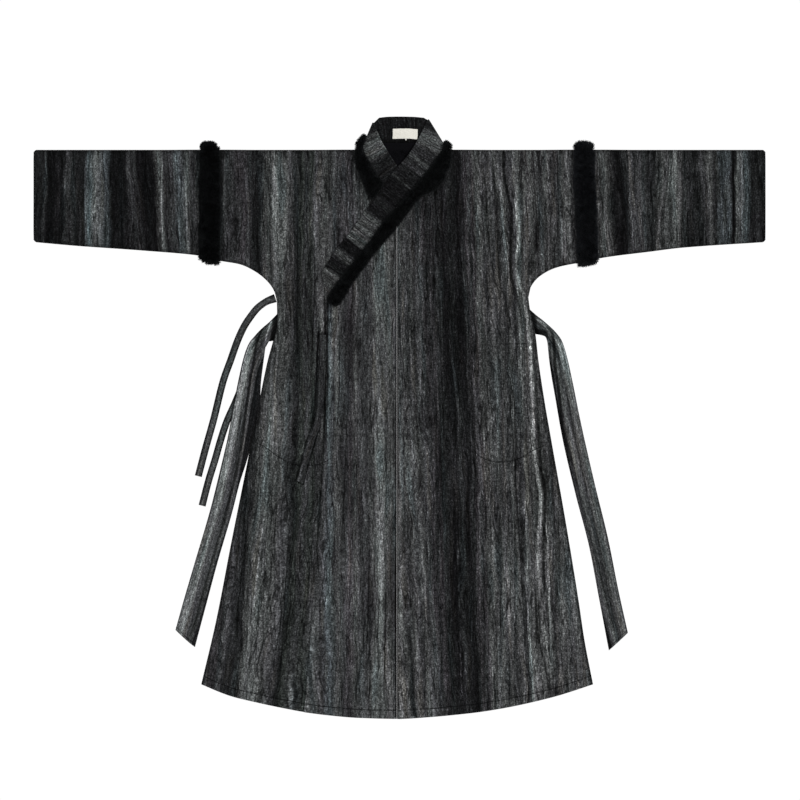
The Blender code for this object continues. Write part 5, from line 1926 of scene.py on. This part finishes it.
def build():
    parts = {}
    parts["body_right"] = body_half("right", WOOL["body_right"])
    parts["body_left"] = body_half("left", WOOL["body_left"])
    parts["overlap"] = gore("outer", WOOL["overlap"])
    parts["underlap"] = gore("inner", WOOL["body_right"])
    parts["sleeve_right"] = sleeve("right", WOOL["sleeve_right"])
    parts["sleeve_left"] = sleeve("left", WOOL["sleeve_left"])
    parts["collar"] = collar(WOOL["collar"])
    sash_profile = [(0, 0.5), (0.02, 0.85), (0.06, 1)] + [(float(v), 1) for v in np.linspace(0.1, 0.9, 25)] + [(0.94, 1), (0.98, 0.85), (1, 0.5)]
    sash_set = {
        "right": {"root": (1.3, 0), "bow": (3.4, 0), "tail": (2.2, 3.4), "tuck": (520, 622, 1.2)},
        "left": {"root": (-1.7, 0), "bow": (-0.4, 0), "tail": (-1.0, 1.5)},
    }
    tie_profile = [(0, 0.45), (0.06, 0.85), (0.18, 1), (0.5, 0.94), (0.82, 1), (0.94, 0.85), (1, 0.45)]
    lengths = {}
    for side, rows in (("right", SASH_RIGHT), ("left", SASH_LEFT)):
        lift = [(k, r[4]) for k, r in enumerate(rows)]
        drops = [((r[1] + r[3]) / 2, r[4]) for r in rows]

        def under(x, d, drops=drops):
            return curve(drops, np.clip(d, drops[0][0], drops[-1][0]))

        parts["sash_" + side], lengths["sash_" + side] = lying_strip(
            "cloth_sash_" + side, rows, under, SASH, "sash_" + side, WOOL["sash_" + side], sash_profile, 4.0,
            **sash_set[side],
        )
    for name, rows, under in (
        ("tie_side_upper", TIE_UPPER, lambda x, d: x * 0.0),
        ("tie_side_lower", TIE_LOWER, lambda x, d: x * 0.0),
        ("tie_front", TIE_FRONT, lambda x, d: under_front(x, d) + CLOTH + SEAM),
    ):
        parts[name], lengths[name] = lying_strip(
            "cloth_" + name, tie_rows(rows), under, TIE, name, WOOL.get(name, WOOL["tie"]), tie_profile, 4.0,
            root=(1.4, 0) if name == "tie_side_upper" else (0, 0),
        )
    # the dark lining in the neck, coloured darker than the fur: its own black with painted shade of the neck's inside
    v = np.concatenate([[0, 0.02, 0.04, 0.06, 0.08], np.linspace(0.11, 1, 23)])[:, None]
    half = 44 * np.sqrt(np.maximum(1 - (v * 0.93) ** 2, 0.02))
    x = half * np.linspace(-1, 1, 25)
    d = np.tile(-15.0 + 78.0 * v, (1, 25))
    parts["lining"] = panel(
        "cloth_neck_lining", x, d,
        lambda x, d: ground(x, d) + CLOTH + SEAM + 0.22 * noise(x, d, 13, 20, 81) + 0.1 + 0.85 * ease((-8.6 - d) / 2.6),
        1.0, "neck_lining", LINING_IN_SHADE,
    )
    # a blank label, a little curled
    u, w = np.meshgrid(np.linspace(-26, 26, 27), np.linspace(-10.5, 10.5, 12))
    tilt = math.radians(1.5)
    lx, ld = 12 + u * math.cos(tilt) - w * math.sin(tilt), -34 + u * math.sin(tilt) + w * math.cos(tilt)
    lx, ld = lx + 0.7 * noise(ld, lx * 0, 7, 1, 84) * np.abs(u) / 26, ld + 0.9 * noise(lx, ld * 0, 15, 1, 85)
    parts["label"] = panel(
        "woven_neck_label", lx, ld,
        lambda x, d: ground(x, d) + BAND + SEAM + 0.3 + 0.5 * (1 + noise(x, d, 12, 9, 83)),
        0.4, "label", LABEL, edge=0.1,
    )
    u, w = np.meshgrid(np.linspace(12.2, 14.6, 4), np.linspace(-24.6, -20.4, 5))
    parts["tab"] = panel(
        "woven_neck_label_tab", u, w,
        lambda x, d: ground(x, d) + BAND + SEAM + 0.35 + 0.1 * (d + 24.6), 0.4, None, LABEL, edge=0.1,
    )
    rings = {}
    for side in ("right", "left"):
        rings[side] = fur_ring(side)
    rings["collar"] = collar_fur()

    # stitches
    top = lambda under: (lambda x, d: under(x, d) + CLOTH)
    hem_right = [(x, float(curve(HEM, x)) - 18) for x in np.linspace(-404, -203, 60)]
    hem_gore = [(x, float(curve(HEM, x)) - 18) for x in np.linspace(-193, -10, 60)]
    hem_left = [(x, float(curve(HEM, x)) - 18) for x in np.linspace(-2, 398, 100)]
    pocket_right = [(-301, 615), (-280, 625), (-253, 645), (-213, 661.5), (-180, 661.5), (-165, 658)]
    pocket_overlap = [(-158, 655), (-148, 650), (-139, 644)]
    pocket_left = [(160, 635), (174, 646.5), (192, 653), (215, 655), (240, 651), (261, 642.5), (275, 633), (306, 620)]
    box = [(-151, 386), (-138, 386), (-138, 404), (-151, 404), (-151, 386)]
    parts["stitches"] = stitches(
        "stitches",
        [
            (hem_right, top(under_front), 4.6, 2.6, 1.7),
            (hem_gore, top(over_front), 4.6, 2.6, 1.7),
            (hem_left, top(over_front), 4.6, 2.6, 1.7),
            (pocket_right, top(under_front), 4.6, 1.2, 1.9),
            (pocket_overlap, top(over_front), 4.6, 1.2, 1.9),
            (pocket_left, top(over_front), 4.6, 1.2, 1.9),
            ([(205, 407), (287, 407)], top(over_front), 4.0, 3.0, 1.1),
            (box, top(over_front), 3.2, 0.8, 1.8),
        ],
    )
    return parts, rings, lengths


PARTS, RINGS, LENGTHS = build()

# ---------------------------------------------------------------- the fur's skins and piles, unpacked
for side in ("right", "left"):
    skin, pile = RINGS[side]
skin, piles = RINGS["collar"]
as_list(piles)

# ---------------------------------------------------------------- floor, light and camera
floor_mesh = bpy.data.meshes.new("floor")
floor_mesh.from_pydata([(-6, -6, 0), (6, -6, 0), (6, 6, 0), (-6, 6, 0)], [], [(0, 1, 2, 3)])
floor = bpy.data.objects.new("floor", floor_mesh)
bpy.context.scene.collection.objects.link(floor)
floor.location.z = -0.0004
paper = bpy.data.materials.new("pale_floor")
paper.use_nodes = True
paper.node_tree.nodes["Principled BSDF"].inputs["Base Color"].default_value = (0.0, 0.0, 0.0, 1)
paper.node_tree.nodes["Principled BSDF"].inputs["Specular IOR Level"].default_value = 0.0
paper.node_tree.nodes["Principled BSDF"].inputs["Emission Color"].default_value = (1.0, 1.0, 1.0, 1)
paper.node_tree.nodes["Principled BSDF"].inputs["Emission Strength"].default_value = 1.02
floor_mesh.materials.append(paper)


def area_light(name, place, aim, size, power, colour=(1, 1, 1)):
    data = bpy.data.lights.new(name, "AREA")
    data.shape = "DISK"
    data.size, data.energy, data.color = size, power, colour
    obj = bpy.data.objects.new(name, data)
    obj.location = place
    obj.rotation_euler = (Vector(aim) - Vector(place)).to_track_quat("-Z", "Y").to_euler()
    bpy.context.scene.collection.objects.link(obj)
    return obj


area_light("key", (3.0, 1.4, 2.6), (0, 0, 0), 1.5, 170)
area_light("fill", (-2.6, -1.6, 3.4), (0, 0, 0), 3.0, 25)
world = bpy.data.worlds.new("studio")
world.use_nodes = True
world.node_tree.nodes["Background"].inputs["Color"].default_value = (1, 1, 1, 1)
world.node_tree.nodes["Background"].inputs["Strength"].default_value = 0.85
bpy.context.scene.world = world
bpy.context.scene.view_settings.view_transform = "Standard"

camera_data = bpy.data.cameras.new("camera")
camera_data.lens, camera_data.sensor_width = 85, 36
camera = bpy.data.objects.new("camera", camera_data)
camera.location = (0.001, 0.037, 3.9667 + 0.005)
bpy.context.scene.collection.objects.link(camera)
bpy.context.scene.camera = camera
